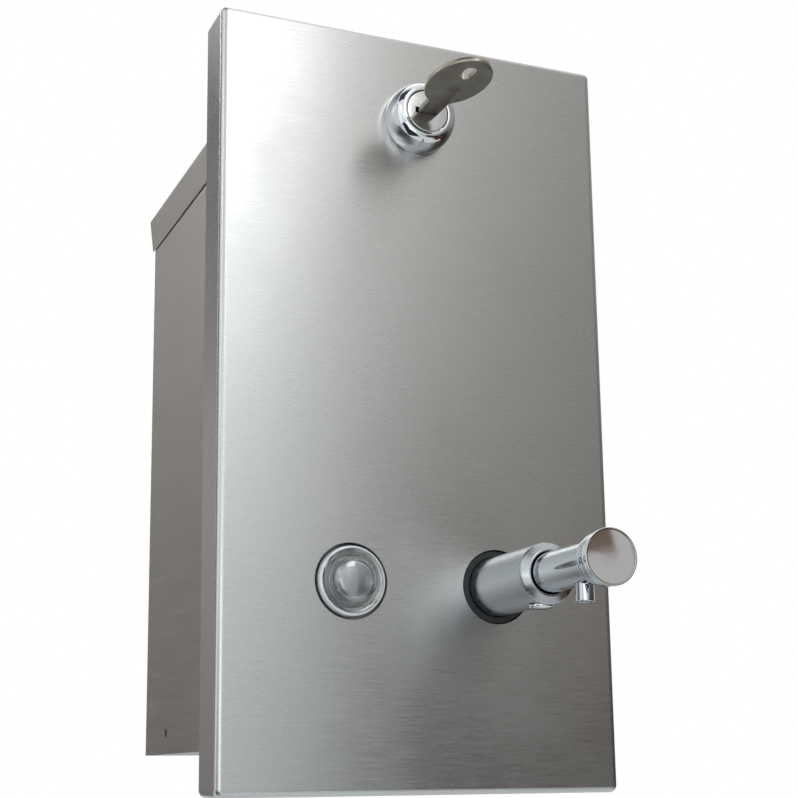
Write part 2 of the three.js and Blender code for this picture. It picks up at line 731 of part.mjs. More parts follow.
function plungerTube() {
  const socket = studEnd + fit.seat;
  const { radius, bore, web, stopRadius } = plunger;
  const tube = turned([
    [0, socket], [button.stud + fit.slip, socket], [button.stud + fit.slip, plungerFront],
    [radius, plungerFront], [radius, stopFront], [stopRadius, stopFront], [stopRadius, stopBack],
    [stem.radius + fit.slip, stopBack], [stem.radius + fit.slip, stemFront - fit.seat],
    [bore, stemFront - fit.seat], [bore, socket + web], [0, socket + web],
  ], valveAxis, facets.fine);
  const spoutAxis = { x: valveAxis.x, y: spoutY };
  const below = valveAxis.z - radius - fit.overrun;
  return tube
    .subtract(rodUp(spout.radius + fit.slip, below, valveAxis.z - spout.root, spoutAxis))
    .subtract(rodUp(spout.channel, below, valveAxis.z, spoutAxis));
}

function plungerStem() {
  const grooveStart = stemBack - (stem.pistonLength + stem.grooveWidth) / 2;
  return turned([
    [stem.bore, stemFront], [stem.radius, stemFront], [stem.radius, stemBack - stem.pistonLength],
    [stem.piston, stemBack - stem.pistonLength], [stem.piston, grooveStart], [stem.groove, grooveStart],
    [stem.groove, grooveStart + stem.grooveWidth], [stem.piston, grooveStart + stem.grooveWidth],
    [stem.piston, stemBack], [stem.bore, stemBack],
  ], valveAxis, facets.small);
}

function pistonSeal() {
  const start = stemBack - (stem.pistonLength + seal.width) / 2;
  return ring(seal.inside, seal.outside, start, start + seal.width, valveAxis);
}

function spoutTube() {
  const top = valveAxis.z - spout.root - fit.seat;
  const tip = valveAxis.z - spout.drop;
  return turnedUp([
    [spout.bore, top], [spout.radius, top], [spout.radius, tip + spout.edge],
    [spout.radius - spout.edge, tip], [spout.bore, tip],
  ], { x: valveAxis.x, y: spoutY }, facets.round);
}

function plungerHead() {
  const back = headFront + head.length;
  const { radius, bead, beadLength, neck, cone, edge } = head;
  const inside = plunger.radius + fit.slip;
  const beadFront = back - beadLength;
  return turned([
    [inside, back], [bead - edge, back], [bead, back - edge], [bead, beadFront + edge], [neck, beadFront],
    [radius, beadFront - cone], [radius, headFront + edge], [radius - edge, headFront],
    [button.stud + fit.slip, headFront], [button.stud + fit.slip, headFront + head.length - head.cup],
    [inside, headFront + head.length - head.cup],
  ], valveAxis, facets.fine);
}

function pushButton() {
  const { radius, edge, rim, dish: hollow, boss, stud } = button;
  return turned([
    [0, studEnd], [stud, studEnd], [stud, headFront - fit.seat], [boss, headFront - fit.seat],
    [boss, discBack],
    [radius - edge, discBack], [radius, discBack - edge], [radius, discFront + edge],
    [radius - edge / 4, discFront + edge / 4], [radius - edge, discFront], [radius - rim, discFront],
    [radius - rim - hollow, discFront + hollow], [0, discFront + hollow],
  ], valveAxis, facets.fine);
}

// Cam lock.

function lockBody() {
  const foot = coverFront - fit.seat;
  const height = lock.proud - lock.widest;
  const lowest = -Math.asin(lock.widest / height);
  const dome = [];
  for (let i = 0; i <= facets.arc; i += 1) {
    const angle = lowest + (i / facets.arc) * (Math.PI / 2 - lowest);
    dome.push([
      lock.rim + (lock.dome - lock.rim) * Math.cos(angle),
      foot - lock.widest - height * Math.sin(angle),
    ]);
  }
  const shoulder = lockFront + lock.boreDepth;
  const round = turned([
    [lock.shankBore, lockBack], [lock.barrel, lockBack], [lock.barrel, foot], ...dome,
    [lock.bore, lockFront + fit.seat], [lock.bore, shoulder], [lock.shankBore, shoulder],
  ], lockAxis, facets.fine);
  return [-1, 1].reduce((cut, side) => {
    const heights = [side * lock.flat, side * lock.dome].sort((a, b) => a - b);
    return cut.subtract(block(
      [-lock.dome, coverFront, lockAxis.z + heights[0]],
      [lock.dome, lockBack + fit.overrun, lockAxis.z + heights[1]],
    ));
  }, round);
}

function lockNutRing() {
  const start = coverBack + fit.seat;
  return nut(lockNut.across, lock.barrel + fit.slip, start, start + lockNut.thickness, lockAxis);
}

function squareBar(half, from, to) {
  return block([-half, from, lockAxis.z - half], [half, to, lockAxis.z + half]);
}

function lockPlug() {
  const headBack = lockFront + lock.boreDepth - fit.seat;
  const shankEnd = camFront - fit.seat;
  const keywayHalf = key.thickness / 2 + plug.keywayGap;
  return rod(plug.head, plugFront, headBack, lockAxis)
    .add(rod(plug.shank, plugFront, shankEnd, lockAxis))
    .add(squareBar(plug.tail, plugFront + plug.keywayDepth, camBack - fit.seat))
    .subtract(block(
      [-plug.keyway, plugFront - fit.overrun, lockAxis.z - keywayHalf],
      [plug.keyway, plugFront + plug.keywayDepth, lockAxis.z + keywayHalf],
    ))
    .subtract(rod(
      camScrew.radius + fit.slip, camBack - camScrew.length - fit.seat, camBack + fit.overrun, lockAxis,
      facets.small,
    ));
}

function lockCam() {
  const { hub, reach, arm, tip } = cam;
  const meet = Math.asin(arm / hub);
  const shape = new THREE.Shape();
  shape.absarc(0, 0, hub, meet, -meet, false);
  shape.absarc(reach - tip, tip - arm, tip, -Math.PI / 2, 0, false);
  shape.absarc(reach - tip, arm - tip, tip, 0, Math.PI / 2, false);
  const blank = extruded(shape, camFront, camBack).rotateX(Math.PI / 2).translate(0, camBack, lockAxis.z);
  const square = squareBar(plug.tail + fit.slip, camFront - fit.overrun, camBack + fit.overrun);
  return solidOf(blank).subtract(square);
}

function camScrewPiece() {
  const under = camBack + fit.seat;
  const top = under + camScrew.headThickness;
  const { radius, length, head: headRadius } = camScrew;
  return turned([
    [0, camBack - length], [radius, camBack - length], [radius, under], [headRadius, under],
    [headRadius, top - radius / 3], [headRadius - radius / 3, top], [0, top],
  ], lockAxis, facets.small);
}

// The key: a cut blade in the plug, a short stem and an oval bow with a hole for a ring.
function keyOutline() {
  const tip = keyShoulder + key.bladeLength;
  const shape = new THREE.Shape();
  const halfBow = key.bowWidth / 2;
  const halfLength = key.bowLength / 2;
  const bowCentre = keyEnd + halfLength;
  const meet = Math.asin(key.neck / halfBow);
  const corner = bowCentre + halfLength * Math.cos(Math.asin(key.shoulder / halfBow));
  const ease = key.neck - key.shoulder;
  shape.moveTo(key.shoulder, corner + ease);
  shape.lineTo(key.shoulder, keyShoulder);
  shape.lineTo(key.blade, keyShoulder);
  const pitch = (key.bladeLength - 2 * key.bladeTip) / facets.cuts;
  for (let i = 0; i < facets.cuts; i += 1) {
    const start = keyShoulder + key.bladeTip + i * pitch;
    shape.lineTo(key.blade, start);
    shape.lineTo(key.blade - key.cutDepth, start + pitch / 2);
  }
  shape.lineTo(key.blade, tip - key.bladeTip);
  shape.lineTo(key.blade - key.bladeTip, tip);
  shape.lineTo(key.bladeTip - key.blade, tip);
  shape.lineTo(-key.blade, tip - key.bladeTip);
  shape.lineTo(-key.blade, keyShoulder);
  shape.lineTo(-key.shoulder, keyShoulder);
  shape.lineTo(-key.shoulder, corner + ease);
  shape.quadraticCurveTo(-key.shoulder, corner, -key.neck, bowCentre + halfLength * Math.cos(meet));
  shape.absellipse(0, bowCentre, halfBow, halfLength, Math.PI / 2 + meet, 2.5 * Math.PI - meet, false, 0);
  shape.quadraticCurveTo(key.shoulder, corner, key.shoulder, corner + ease);
  return shape;
}

function keyPiece() {
  const low = lockAxis.z - key.thickness / 2;
  const high = lockAxis.z + key.thickness / 2;
  const holeCentre = keyEnd + key.holeFromEnd;
  const reach = key.holeLength / 2;
  const hole = roundedRectangle(-key.hole, key.hole, holeCentre - reach, holeCentre + reach, key.hole);
  const groove = block(
    [-key.grooveWidth / 2, keyShoulder, high - key.groove],
    [key.grooveWidth / 2, keyShoulder + key.bladeLength + fit.overrun, high + fit.overrun],
  );
  return pushedUpFine(keyOutline(), low, high)
    .subtract(pushedUp(hole, low - fit.overrun, high + fit.overrun))
    .subtract(groove);
}

// As pushedUp, with more steps round each curve.
function pushedUpFine(shape, from, to) {
  return solidOf(new THREE.ExtrudeGeometry(shape, {
    depth: to - from, bevelEnabled: false, curveSegments: facets.oval,
  }).translate(0, 0, from));
}

// Every piece, by the name that a person would use for it.
const pieces = [
  ['front_cover', frontCover, finish.coverSteel],
  ['cover_peg_left', () => coverPeg(-1), finish.innerSteel],
  ['cover_peg_right', () => coverPeg(1), finish.innerSteel],
  ['housing_shell', housingShell, finish.bodySteel],
  ['housing_cap', housingCap, finish.bodySteel],
  ['lock_keeper', lockKeeper, finish.innerSteel],
  ['tank_shelf', tankShelf, finish.innerSteel],
  ['hanger_rail', hangerRail, finish.innerSteel],
  ['tank_shell', tankShell, finish.innerSteel],
  ['tank_roof', tankRoofPlate, finish.innerSteel],
  ['tank_hanger', tankHanger, finish.innerSteel],
  ['filler_lid', fillerLid, finish.innerSteel],
  ['lid_pin', lidPin, finish.chrome],
  ['window_lens', windowLens, finish.clear],
  ['window_gasket', windowGasket, finish.rubber],
  ['window_nut', windowNutRing, finish.plastic],
  ['valve_sleeve', valveSleeve, finish.satin],
  ['valve_gasket', valveGasket, finish.rubber],
  ['valve_washer', valveWasher, finish.rubber],
  ['valve_nut', valveNutRing, finish.brass],
  ['valve_body', valveBody, finish.brass],
  ['guide_bush', guideBush, finish.satin],
  ['wiper_seal', wiperSeal, finish.rubber],
  ['bush_screw', bushSetScrew, finish.chrome],
  ['inlet_cap', inletCap, finish.plastic],
  ['inlet_ball', inletBall, finish.chrome],
  ['dip_tube', dipTubePiece, finish.whitePlastic],
  ['return_spring', returnSpring, finish.innerSteel],
  ['plunger_tube', plungerTube, finish.chrome],
  ['plunger_stem', plungerStem, finish.brass],
  ['piston_seal', pistonSeal, finish.rubber],
  ['outlet_ball', outletCheck, finish.chrome],
  ['spout_tube', spoutTube, finish.chrome],
  ['plunger_head', plungerHead, finish.chrome],
  ['push_button', pushButton, finish.chrome],
  ['lock_body', lockBody, finish.chrome],
  ['lock_nut', lockNutRing, finish.nickel],
  ['lock_plug', lockPlug, finish.satin],
  ['lock_cam', lockCam, finish.innerSteel],
  ['cam_screw', camScrewPiece, finish.innerSteel],
  ['key', keyPiece, finish.nickel],
];

const dispenser = new THREE.Group();
for (const [name, make, look] of pieces) {
  const mesh = new THREE.Mesh(geometryOf(make()), new THREE.MeshStandardMaterial(look));
  mesh.name = name;
  dispenser.add(mesh);
}
dispenser.position.set(0, -housing.depth, -(housing.rise + housingTop) / 2);

export default dispenser;
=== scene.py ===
import logging
import math
from dataclasses import dataclass
from enum import Enum
from typing import Optional

import bmesh
import bpy
from mathutils import Matrix, Vector


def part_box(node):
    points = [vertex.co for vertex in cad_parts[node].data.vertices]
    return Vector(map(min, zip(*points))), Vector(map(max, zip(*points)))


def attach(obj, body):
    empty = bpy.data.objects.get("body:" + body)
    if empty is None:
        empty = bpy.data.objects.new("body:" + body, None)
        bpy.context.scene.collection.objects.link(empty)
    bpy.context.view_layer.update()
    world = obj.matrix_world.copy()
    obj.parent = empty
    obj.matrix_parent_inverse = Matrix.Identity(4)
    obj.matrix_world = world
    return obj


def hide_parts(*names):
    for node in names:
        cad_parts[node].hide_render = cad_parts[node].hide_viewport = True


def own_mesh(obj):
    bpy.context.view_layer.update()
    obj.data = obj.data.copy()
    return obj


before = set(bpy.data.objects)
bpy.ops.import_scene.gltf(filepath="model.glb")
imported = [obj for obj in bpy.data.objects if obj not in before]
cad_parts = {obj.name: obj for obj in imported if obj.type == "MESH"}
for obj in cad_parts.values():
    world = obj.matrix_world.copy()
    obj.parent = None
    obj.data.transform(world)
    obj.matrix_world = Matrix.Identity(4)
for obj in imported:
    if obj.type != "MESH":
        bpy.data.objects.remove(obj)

Triple = tuple[float, float, float]
Colour = tuple[float, float, float]
Point = tuple[float, float]
Corner = tuple[float, ...]
Object = bpy.types.Object
Material = bpy.types.Material
Socket = bpy.types.NodeSocket

log = logging.getLogger("dispenser")

CREASE = math.radians(32)
EASED_FROM = math.radians(40)
ROUND_STEPS = 128
DRILL_STEPS = 64
HOLE_STEPS = 48
FOLD_STEPS = 10
CORNER_STEPS = 6
SAME_SPOT = 1e-7
OVERCUT = 0.001
EDGE_SHARE = 0.49
LEAST_CORNER = 0.0004
FOLD_START = 1.15
FOLD_END = 1.12
QUARTER_TURN = 0.25


class Grain(Enum):
    """Which way the polishing lines of a surface run: how densely they are packed along X, Y and Z."""

    ACROSS = (1 / 60, 1, 1)
    INWARD = (1, 1 / 60, 1)
    UPWARD = (1, 1, 1 / 60)
    TURNED = (1 / 30, 1, 1 / 30)


def grown(tree: bpy.types.NodeTree, kind: str, feeds: dict, **settings: str) -> bpy.types.Node:
    """Adds a shader node.

    Args:
        tree: The node tree.
        kind: The node's kind.
        feeds: What its sockets get, another node's output or a value.
        settings: Its settings.

    Returns:
        The node.
    """
    node = tree.nodes.new(kind)
    for name, value in settings.items():
        setattr(node, name, value)
    for socket, value in feeds.items():
        if isinstance(value, Socket):
            tree.links.new(value, node.inputs[socket])
        else:
            node.inputs[socket].default_value = value
    return node


def reckoned(tree: bpy.types.NodeTree, operation: str, first: Socket, second: "Socket | float") -> Socket:
    """The output of a math node that gets two values."""
    return grown(tree, "ShaderNodeMath", {0: first, 1: second}, operation=operation).outputs[0]


def glowing(name: str, colour: Colour) -> tuple[Material, bpy.types.Node]:
    """A material that only glows.

    Args:
        name: Its name.
        colour: Its colour, linear.

    Returns:
        The material and its emission node.
    """
    material = bpy.data.materials.new(name)
    material.use_nodes = True
    tree = material.node_tree
    tree.nodes.clear()
    glow = grown(tree, "ShaderNodeEmission", {"Color": (*colour, 1)})
    grown(tree, "ShaderNodeOutputMaterial", {"Surface": glow.outputs[0]})
    return material, glow


class Recipe:
    """A material being mixed: one Principled shader and the nodes that feed it."""

    def __init__(self, name: str, colour: Colour, roughness: float, metallic: float) -> None:
        """Starts a material.

        Args:
            name: The material's name.
            colour: Its base colour, linear.
            roughness: Its roughness where nothing else feeds it.
            metallic: 1 for metal, 0 otherwise.
        """
        self.colour = colour
        self.material = bpy.data.materials.new(name)
        self.material.use_nodes = True
        self.tree = self.material.node_tree
        self.shader = self.tree.nodes["Principled BSDF"]
        self.set("Base Color", (*colour, 1))
        self.set("Roughness", roughness)
        self.set("Metallic", metallic)
        self.place = self.tree.nodes.new("ShaderNodeTexCoord").outputs["Object"]
        self.normal: Optional[Socket] = None

    def set(self, socket: str, value: "float | tuple") -> None:
        """Sets one of the shader's own sockets."""
        self.shader.inputs[socket].default_value = value

    def feed(self, socket: str, value: Socket) -> None:
        """Links a value to one of the shader's sockets."""
        self.tree.links.new(value, self.shader.inputs[socket])

    def noise(self, size: float, stretch: Triple = (1, 1, 1), detail: float = 3.0) -> Socket:
        """Adds a noise pattern.

        Args:
            size: The width of one patch of it, in metres.
            stretch: How densely it is packed along X, Y and Z, before size.
            detail: How many finer layers it has.

        Returns:
            The socket that gives its value, about 0.5.
        """
        scale = grown(self.tree, "ShaderNodeMapping",
                      {"Vector": self.place, "Scale": [s / size for s in stretch]})
        return grown(self.tree, "ShaderNodeTexNoise",
                     {"Vector": scale.outputs["Vector"], "Scale": 1.0, "Detail": detail}).outputs["Fac"]

    def spread(self, value: Socket, low: float = 0.0, high: float = 1.0,
               window: Point = (0.3, 0.7)) -> Socket:
        """Maps a pattern to a range.

        Args:
            value: The pattern's value.
            low: What the window's lower end becomes.
            high: What its upper end becomes.
            window: The part of the pattern's range that is used.

        Returns:
            The socket that gives the mapped value.
        """
        return grown(self.tree, "ShaderNodeMapRange", {
            "Value": value, "From Min": window[0], "From Max": window[1], "To Min": low, "To Max": high,
        }).outputs["Result"]

    def roughen(self, first: Socket, second: Socket) -> None:
        """Feeds the roughness with the sum of two values."""
        self.feed("Roughness", reckoned(self.tree, "ADD", first, second))

    def tint(self, amount: Socket, low: float, high: float = 1.0) -> None:
        """Makes the base colour follow a value.

        Args:
            amount: The value, from 0 to 1.
            low: How light the colour is at 0, as a share of the recipe's colour.
            high: How light it is at 1.
        """
        colours = [(*(min(1.0, part * share) for part in self.colour), 1) for share in (low, high)]
        mix = grown(self.tree, "ShaderNodeMix", {0: amount, 6: colours[0], 7: colours[1]}, data_type="RGBA")
        self.feed("Base Color", mix.outputs[2])

    def smear(self, share: float) -> None:
        """Stretches highlights across polishing lines that run level round the piece.

        Args:
            share: How far they are stretched, up to 1.
        """
        self.set("Anisotropic", share)
        self.set("Anisotropic Rotation", QUARTER_TURN)
        tangent = grown(self.tree, "ShaderNodeTangent", {}, direction_type="RADIAL", axis="Z")
        self.feed("Tangent", tangent.outputs["Tangent"])

    def bump(self, height: Socket, depth: float, strength: float) -> None:
        """Adds relief on top of what is there.

        Args:
            height: The pattern of the relief.
            depth: Its depth in metres.
            strength: How much of it shows.
        """
        feeds = {"Height": height, "Distance": depth, "Strength": strength}
        if self.normal is not None:
            feeds["Normal"] = self.normal
        self.normal = grown(self.tree, "ShaderNodeBump", feeds).outputs["Normal"]
        self.feed("Normal", self.normal)


@dataclass(frozen=True)
class BrushedSteel:
    """Stainless sheet with polishing lines.

    Attributes:
        name: The material's name.
        colour: Its mean colour, linear.
        roughness: Its mean roughness.
        grain: Which way its lines run.
        line: The width of one line, in metres.
        contrast: How far lines lighten and darken it.
        relief: How much of the lines' depth shows.
        smear: The share of anisotropy.
        cloud: The width of the patches that handling leaves.
        dulling: How far they change its roughness.
        keenness: How far its lines change its roughness.
    """

    name: str
    colour: Colour
    roughness: float
    grain: Grain
    line: float
    contrast: float
    relief: float = 0.25
    smear: float = 0.0
    cloud: float = 0.05
    dulling: float = 0.03
    keenness: float = 0.04

    def mix(self) -> Material:
        """Makes the material.

        Returns:
            The material.
        """
        recipe = Recipe(self.name, self.colour, self.roughness, 1.0)
        fine = recipe.noise(self.line, self.grain.value, detail=2.0)
        bands = recipe.noise(self.line * 4, self.grain.value, detail=2.0)
        clouds = recipe.noise(self.cloud)
        lines = reckoned(recipe.tree, "ADD", recipe.spread(fine, 0.0, 0.8), recipe.spread(bands, 0.0, 0.2))
        recipe.tint(lines, 1 - self.contrast, 1 + self.contrast)
        recipe.roughen(
            recipe.spread(lines, self.roughness - self.keenness, self.roughness + self.keenness, (0.0, 1.0)),
            recipe.spread(clouds, -self.dulling, self.dulling),
        )
        recipe.bump(fine, 0.000003, self.relief)
        recipe.bump(clouds, 0.00006, 0.4)
        if self.smear:
            recipe.smear(self.smear)
        return recipe.material


@dataclass(frozen=True)
class PlatedMetal:
    """Polished plated metal, clean or darkened by handling, or a drawn tube of it.

    Attributes:
        name: The material's name.
        colour: Its colour, linear.
        roughness: Its mean roughness.
        smudge: How far finger marks dull it.
        turned: The depth of its turning marks, in metres.
        stain: How far patches darken it.
        drawn: How far a drawn tube's lines change its roughness, in place of smudge and stain.
    """

    name: str
    colour: Colour
    roughness: float
    smudge: float = 0.03
    turned: float = 0.0
    stain: float = 0.03
    drawn: float = 0.0

    def mix(self) -> Material:
        """Makes the material.

        Returns:
            The material.
        """
        recipe = Recipe(self.name, self.colour, self.roughness, 1.0)
        marks = recipe.noise(0.008, detail=4.0)
        recipe.bump(marks, 0.00002, 0.25)
        if self.drawn:
            lines = recipe.noise(0.0016, Grain.INWARD.value, detail=2.0)
            recipe.feed("Roughness",
                        recipe.spread(lines, self.roughness - self.drawn, self.roughness + self.drawn))
            recipe.tint(recipe.spread(lines), 1 - self.drawn)
            recipe.bump(lines, 0.00003, 0.2)
            return recipe.material
        pores = recipe.noise(0.0009, detail=2.0)
        recipe.roughen(
            recipe.spread(marks, self.roughness, self.roughness + self.smudge),
            recipe.spread(pores, -self.smudge / 6, self.smudge / 6),
        )
        recipe.tint(recipe.spread(marks), 1 - self.stain)
        if self.turned:
            recipe.bump(recipe.noise(0.0003, Grain.TURNED.value, detail=1.0), self.turned, 0.6)
        return recipe.material


@dataclass(frozen=True)
class SoftRubber:
    """Moulded rubber with a dusty bloom."""

    name: str
    colour: Colour = (0.012, 0.013, 0.014)

    def mix(self) -> Material:
        """Makes the material.

        Returns:
            The material.
        """
        recipe = Recipe(self.name, self.colour, 0.6, 0.0)
        bloom = recipe.noise(0.003, detail=4.0)
        recipe.tint(recipe.spread(bloom), 1.0, 1.6)
        recipe.feed("Roughness", recipe.spread(bloom, 0.5, 0.8))
        recipe.bump(recipe.noise(0.0002, detail=1.0), 0.00002, 0.5)
        return recipe.material


@dataclass(frozen=True)
class ClearPlastic:
    """Clear moulded plastic, a little milky from soap; with low clarity it also serves as a painted
    highlight.

    Attributes:
        name: The material's name.
        colour: Its colour, linear.
        clarity: The share of light that passes it.
        haze: Its mean roughness.
    """

    name: str
    colour: Colour = (0.80, 0.84, 0.86)
    clarity: float = 0.95
    haze: float = 0.02

    def mix(self) -> Material:
        """Makes the material.

        Returns:
            The material.
        """
        recipe = Recipe(self.name, self.colour, self.haze, 0.0)
        for socket, value in (("Transmission Weight", self.clarity), ("IOR", 1.49), ("Coat Weight", 1.0),
                              ("Coat Roughness", self.haze), ("Coat IOR", 2.1)):
            recipe.set(socket, value)
        film = recipe.noise(0.004, detail=4.0)
        recipe.feed("Roughness", recipe.spread(film, self.haze * 0.5, self.haze * 2))
        recipe.tint(recipe.spread(film), 0.8)
        recipe.bump(recipe.noise(0.004, detail=2.0), 0.00003, 0.4)
        return recipe.material


@dataclass(frozen=True)
class MouldedPlastic:
    """Plain moulded plastic with a fine texture."""

    name: str
    colour: Colour
    roughness: float = 0.45

    def mix(self) -> Material:
        """Makes the material.

        Returns:
            The material.
        """
        recipe = Recipe(self.name, self.colour, self.roughness, 0.0)
        skin = recipe.noise(0.0003, detail=1.0)
        recipe.tint(recipe.spread(recipe.noise(0.01)), 0.88, 1.08)
        recipe.feed("Roughness", recipe.spread(skin, self.roughness - 0.06, self.roughness + 0.08))
        recipe.bump(skin, 0.00002, 0.5)
        return recipe.material


class Finishes:
    """The finishes of this dispenser, mixed once each."""

    def __init__(self) -> None:
        """Mixes them."""
        self.cover = BrushedSteel("brushed cover steel", (0.57, 0.577, 0.57), 0.28, Grain.ACROSS,
                                  line=0.00025, contrast=0.02, relief=0.18, smear=0.8).mix()
        self.body = BrushedSteel("dull housing steel", (0.36, 0.345, 0.325), 0.45, Grain.INWARD,
                                 line=0.0006, contrast=0.11, relief=0.6).mix()
        self.inner = BrushedSteel("plain tank steel", (0.40, 0.40, 0.395), 0.38, Grain.UPWARD,
                                  line=0.0008, contrast=0.06).mix()
        self.chrome = PlatedMetal("polished chrome", (0.72, 0.735, 0.76), 0.03).mix()
        self.bright = PlatedMetal("drawn chrome", (0.54, 0.565, 0.6), 0.06, drawn=0.035).mix()
        self.satin = PlatedMetal("satin chrome", (0.43, 0.45, 0.47), 0.25, drawn=0.06).mix()
        self.face = PlatedMetal("wiped chrome", (0.74, 0.75, 0.76), 0.1, smudge=0.06, turned=0.000002).mix()
        self.nickel = PlatedMetal("handled nickel", (0.425, 0.388, 0.335), 0.28,
                                  smudge=0.12, stain=0.25).mix()
        self.brass = PlatedMetal("turned brass", (0.55, 0.40, 0.15), 0.28, turned=0.000008, stain=0.12).mix()
        self.rubber = SoftRubber("black rubber").mix()
        self.clear = ClearPlastic("clear window plastic").mix()
        self.film = ClearPlastic("soap film on plastic", clarity=0.7, haze=0.15).mix()
        # The rim finish is a painted highlight: pale, mostly opaque plastic that stands in for the light
        # seen on the clear lip.
        self.rim = ClearPlastic("lip plastic with painted highlight", (0.86, 0.89, 0.92), clarity=0.25, haze=0.12).mix()
        self.silicone = SoftRubber("pale silicone", (0.52, 0.50, 0.455)).mix()
        self.plastic = MouldedPlastic("dark moulded plastic", (0.05, 0.054, 0.058)).mix()
        self.white = MouldedPlastic("white moulded plastic", (0.72, 0.72, 0.69), 0.5).mix()


def bent(start: Vector, through: Vector, stop: Vector, steps: int) -> list[Point]:
    """The points of a curve that bends towards a corner without reaching it.

    Args:
        start: Where it starts.
        through: The corner.
        stop: Where it ends.
        steps: How many edges it gets.

    Returns:
        Its points.
    """
    points = []
    for i in range(steps + 1):
        t = i / steps
        at = start * (1 - t) ** 2 + through * (2 * t * (1 - t)) + stop * t ** 2
        points.append((at.x, at.y))
    return points


def softened(corners: list[Corner], closed: bool) -> list[Point]:
    """Rounds the corners of an outline.

    Args:
        corners: The outline: each corner's radius, place along the axis and, if it is rounded, how far.
        closed: Whether the last corner joins the first.

    Returns:
        The points of the rounded outline.
    """
    points: list[Point] = []
    count = len(corners)
    for i, (radius, along, *rounding) in enumerate(corners):
        here = Vector((radius, along))
        if not rounding or (not closed and i in (0, count - 1)):
            points.append((here.x, here.y))
            continue
        before = Vector(corners[i - 1][:2]) - here
        after = Vector(corners[(i + 1) % count][:2]) - here
        reach = min(rounding[0], before.length * EDGE_SHARE, after.length * EDGE_SHARE)
        start, stop = here + before.normalized() * reach, here + after.normalized() * reach
        points += bent(start, here, stop, CORNER_STEPS)
    return points


def finished(name: str, shape: bmesh.types.BMesh) -> Object:
    """Turns a mesh under construction into a smooth-shaded object with crisp creases.

    Args:
        name: The object's name.
        shape: The mesh, which is freed.

    Returns:
        The object, linked to the scene.
    """
    bmesh.ops.remove_doubles(shape, verts=shape.verts, dist=SAME_SPOT)
    bmesh.ops.recalc_face_normals(shape, faces=shape.faces)
    mesh = bpy.data.meshes.new(name)
    shape.to_mesh(mesh)
    shape.free()
    made = bpy.data.objects.new(name, mesh)
    bpy.context.scene.collection.objects.link(made)
    smooth(made)
    return made


def smooth(made: Object) -> None:
    """Shades an object smooth but for its creases.

    Args:
        made: The object.
    """
    for face in made.data.polygons:
        face.use_smooth = True
    made.data.set_sharp_from_angle(angle=CREASE)


def turned(name: str, corners: list[Corner], at: Vector, closed: bool = False,
           steps: int = ROUND_STEPS, upright: bool = False) -> Object:
    """Turns an outline about an axis.

    Args:
        name: The object's name.
        corners: The outline; it starts and ends on the axis unless it is closed.
        at: A point of the axis.
        closed: Whether the outline is a ring that doesn't touch the axis.
        steps: How many sides a full turn has.
        upright: Whether the axis runs up and not into the wall.

    Returns:
        The object.
    """
    shape = bmesh.new()
    rings = []
    for radius, along in softened(corners, closed):
        ring = []
        for k in range(1 if radius < SAME_SPOT else steps):
            angle = 2 * math.pi * k / steps
            u, v = radius * math.sin(angle), radius * math.cos(angle)
            place = (at.x + u, at.y + v, along) if upright else (at.x + u, along, at.z + v)
            ring.append(shape.verts.new(place))
        rings.append(ring)
    for i in range(len(rings) if closed else len(rings) - 1):
        lower, upper = rings[i], rings[(i + 1) % len(rings)]
        for k in range(steps):
            sides = [lower[k % len(lower)], lower[(k + 1) % len(lower)],
                     upper[(k + 1) % len(upper)], upper[k % len(upper)]]
            kept = list(dict.fromkeys(sides))
            if len(kept) > 2:
                shape.faces.new(kept)
    return finished(name, shape)


def drill(radius: float, start: float, end: float, at: Vector, steps: int, upright: bool = True) -> Object:
    """A cylinder that cuts a hole.

    Args:
        radius: The hole's radius.
        start: Where the cylinder starts along its axis.
        end: Where it ends.
        at: A point of the axis.
        steps: How many sides it has.
        upright: Whether the axis runs up and not into the wall.

    Returns:
        The cylinder.
    """
    outline = [(0, start), (radius, start), (radius, end), (0, end)]
    return turned("drill", outline, at, steps=steps, upright=upright)


def skinned(name: str, loops: list[list[Triple]]) -> Object:
    """Lays a closed skin over loops of points.

    Args:
        name: The object's name.
        loops: The loops in order, with as many points each.

    Returns:
        The object.
    """
    shape = bmesh.new()
    rings = [[shape.verts.new(point) for point in loop] for loop in loops]
    for ring, following in zip(rings, rings[1:]):
        for i in range(len(ring)):
            k = (i + 1) % len(ring)
            shape.faces.new((ring[i], ring[k], following[k], following[i]))
    shape.faces.new(rings[0])
    shape.faces.new(rings[-1])
    return finished(name, shape)


def block(low: Triple, high: Triple) -> Object:
    """A block between two corners.

    Args:
        low: Its lower corner.
        high: Its upper corner.

    Returns:
        The block.
    """
    shape = bmesh.new()
    bmesh.ops.create_cube(shape, size=1.0)
    bmesh.ops.scale(shape, vec=Vector(high) - Vector(low), verts=shape.verts)
    bmesh.ops.translate(shape, vec=(Vector(high) + Vector(low)) / 2, verts=shape.verts)
    return finished("block", shape)


def ease(made: Object, width: float) -> None:
    """Rounds an object's sharp edges slightly.

    Args:
        made: The object.
        width: How wide the rounding is.
    """
    bevel = made.modifiers.new("eased", "BEVEL")
    bevel.width = width
    bevel.segments = 2
    bevel.limit_method = "ANGLE"
    bevel.angle_limit = EASED_FROM
    bevel.harden_normals = True
    settle(made)


def carve(made: Object, tools: list[Object]) -> None:
    """Cuts tools out of an object and removes them.

    Args:
        made: The object that is cut.
        tools: The closed objects that cut it.
    """
    for tool in tools:
        cut = made.modifiers.new("cut", "BOOLEAN")
        cut.operation = "DIFFERENCE"
        cut.solver = "EXACT"
        cut.object = tool
        settle(made)
        bpy.data.objects.remove(tool)


def settle(made: Object) -> None:
    """Applies an object's modifiers to its mesh.

    Args:
        made: The object.
    """
    graph = bpy.context.evaluated_depsgraph_get()
    mesh = bpy.data.meshes.new_from_object(made.evaluated_get(graph))
    made.modifiers.clear()
    made.data = mesh
    smooth(made)


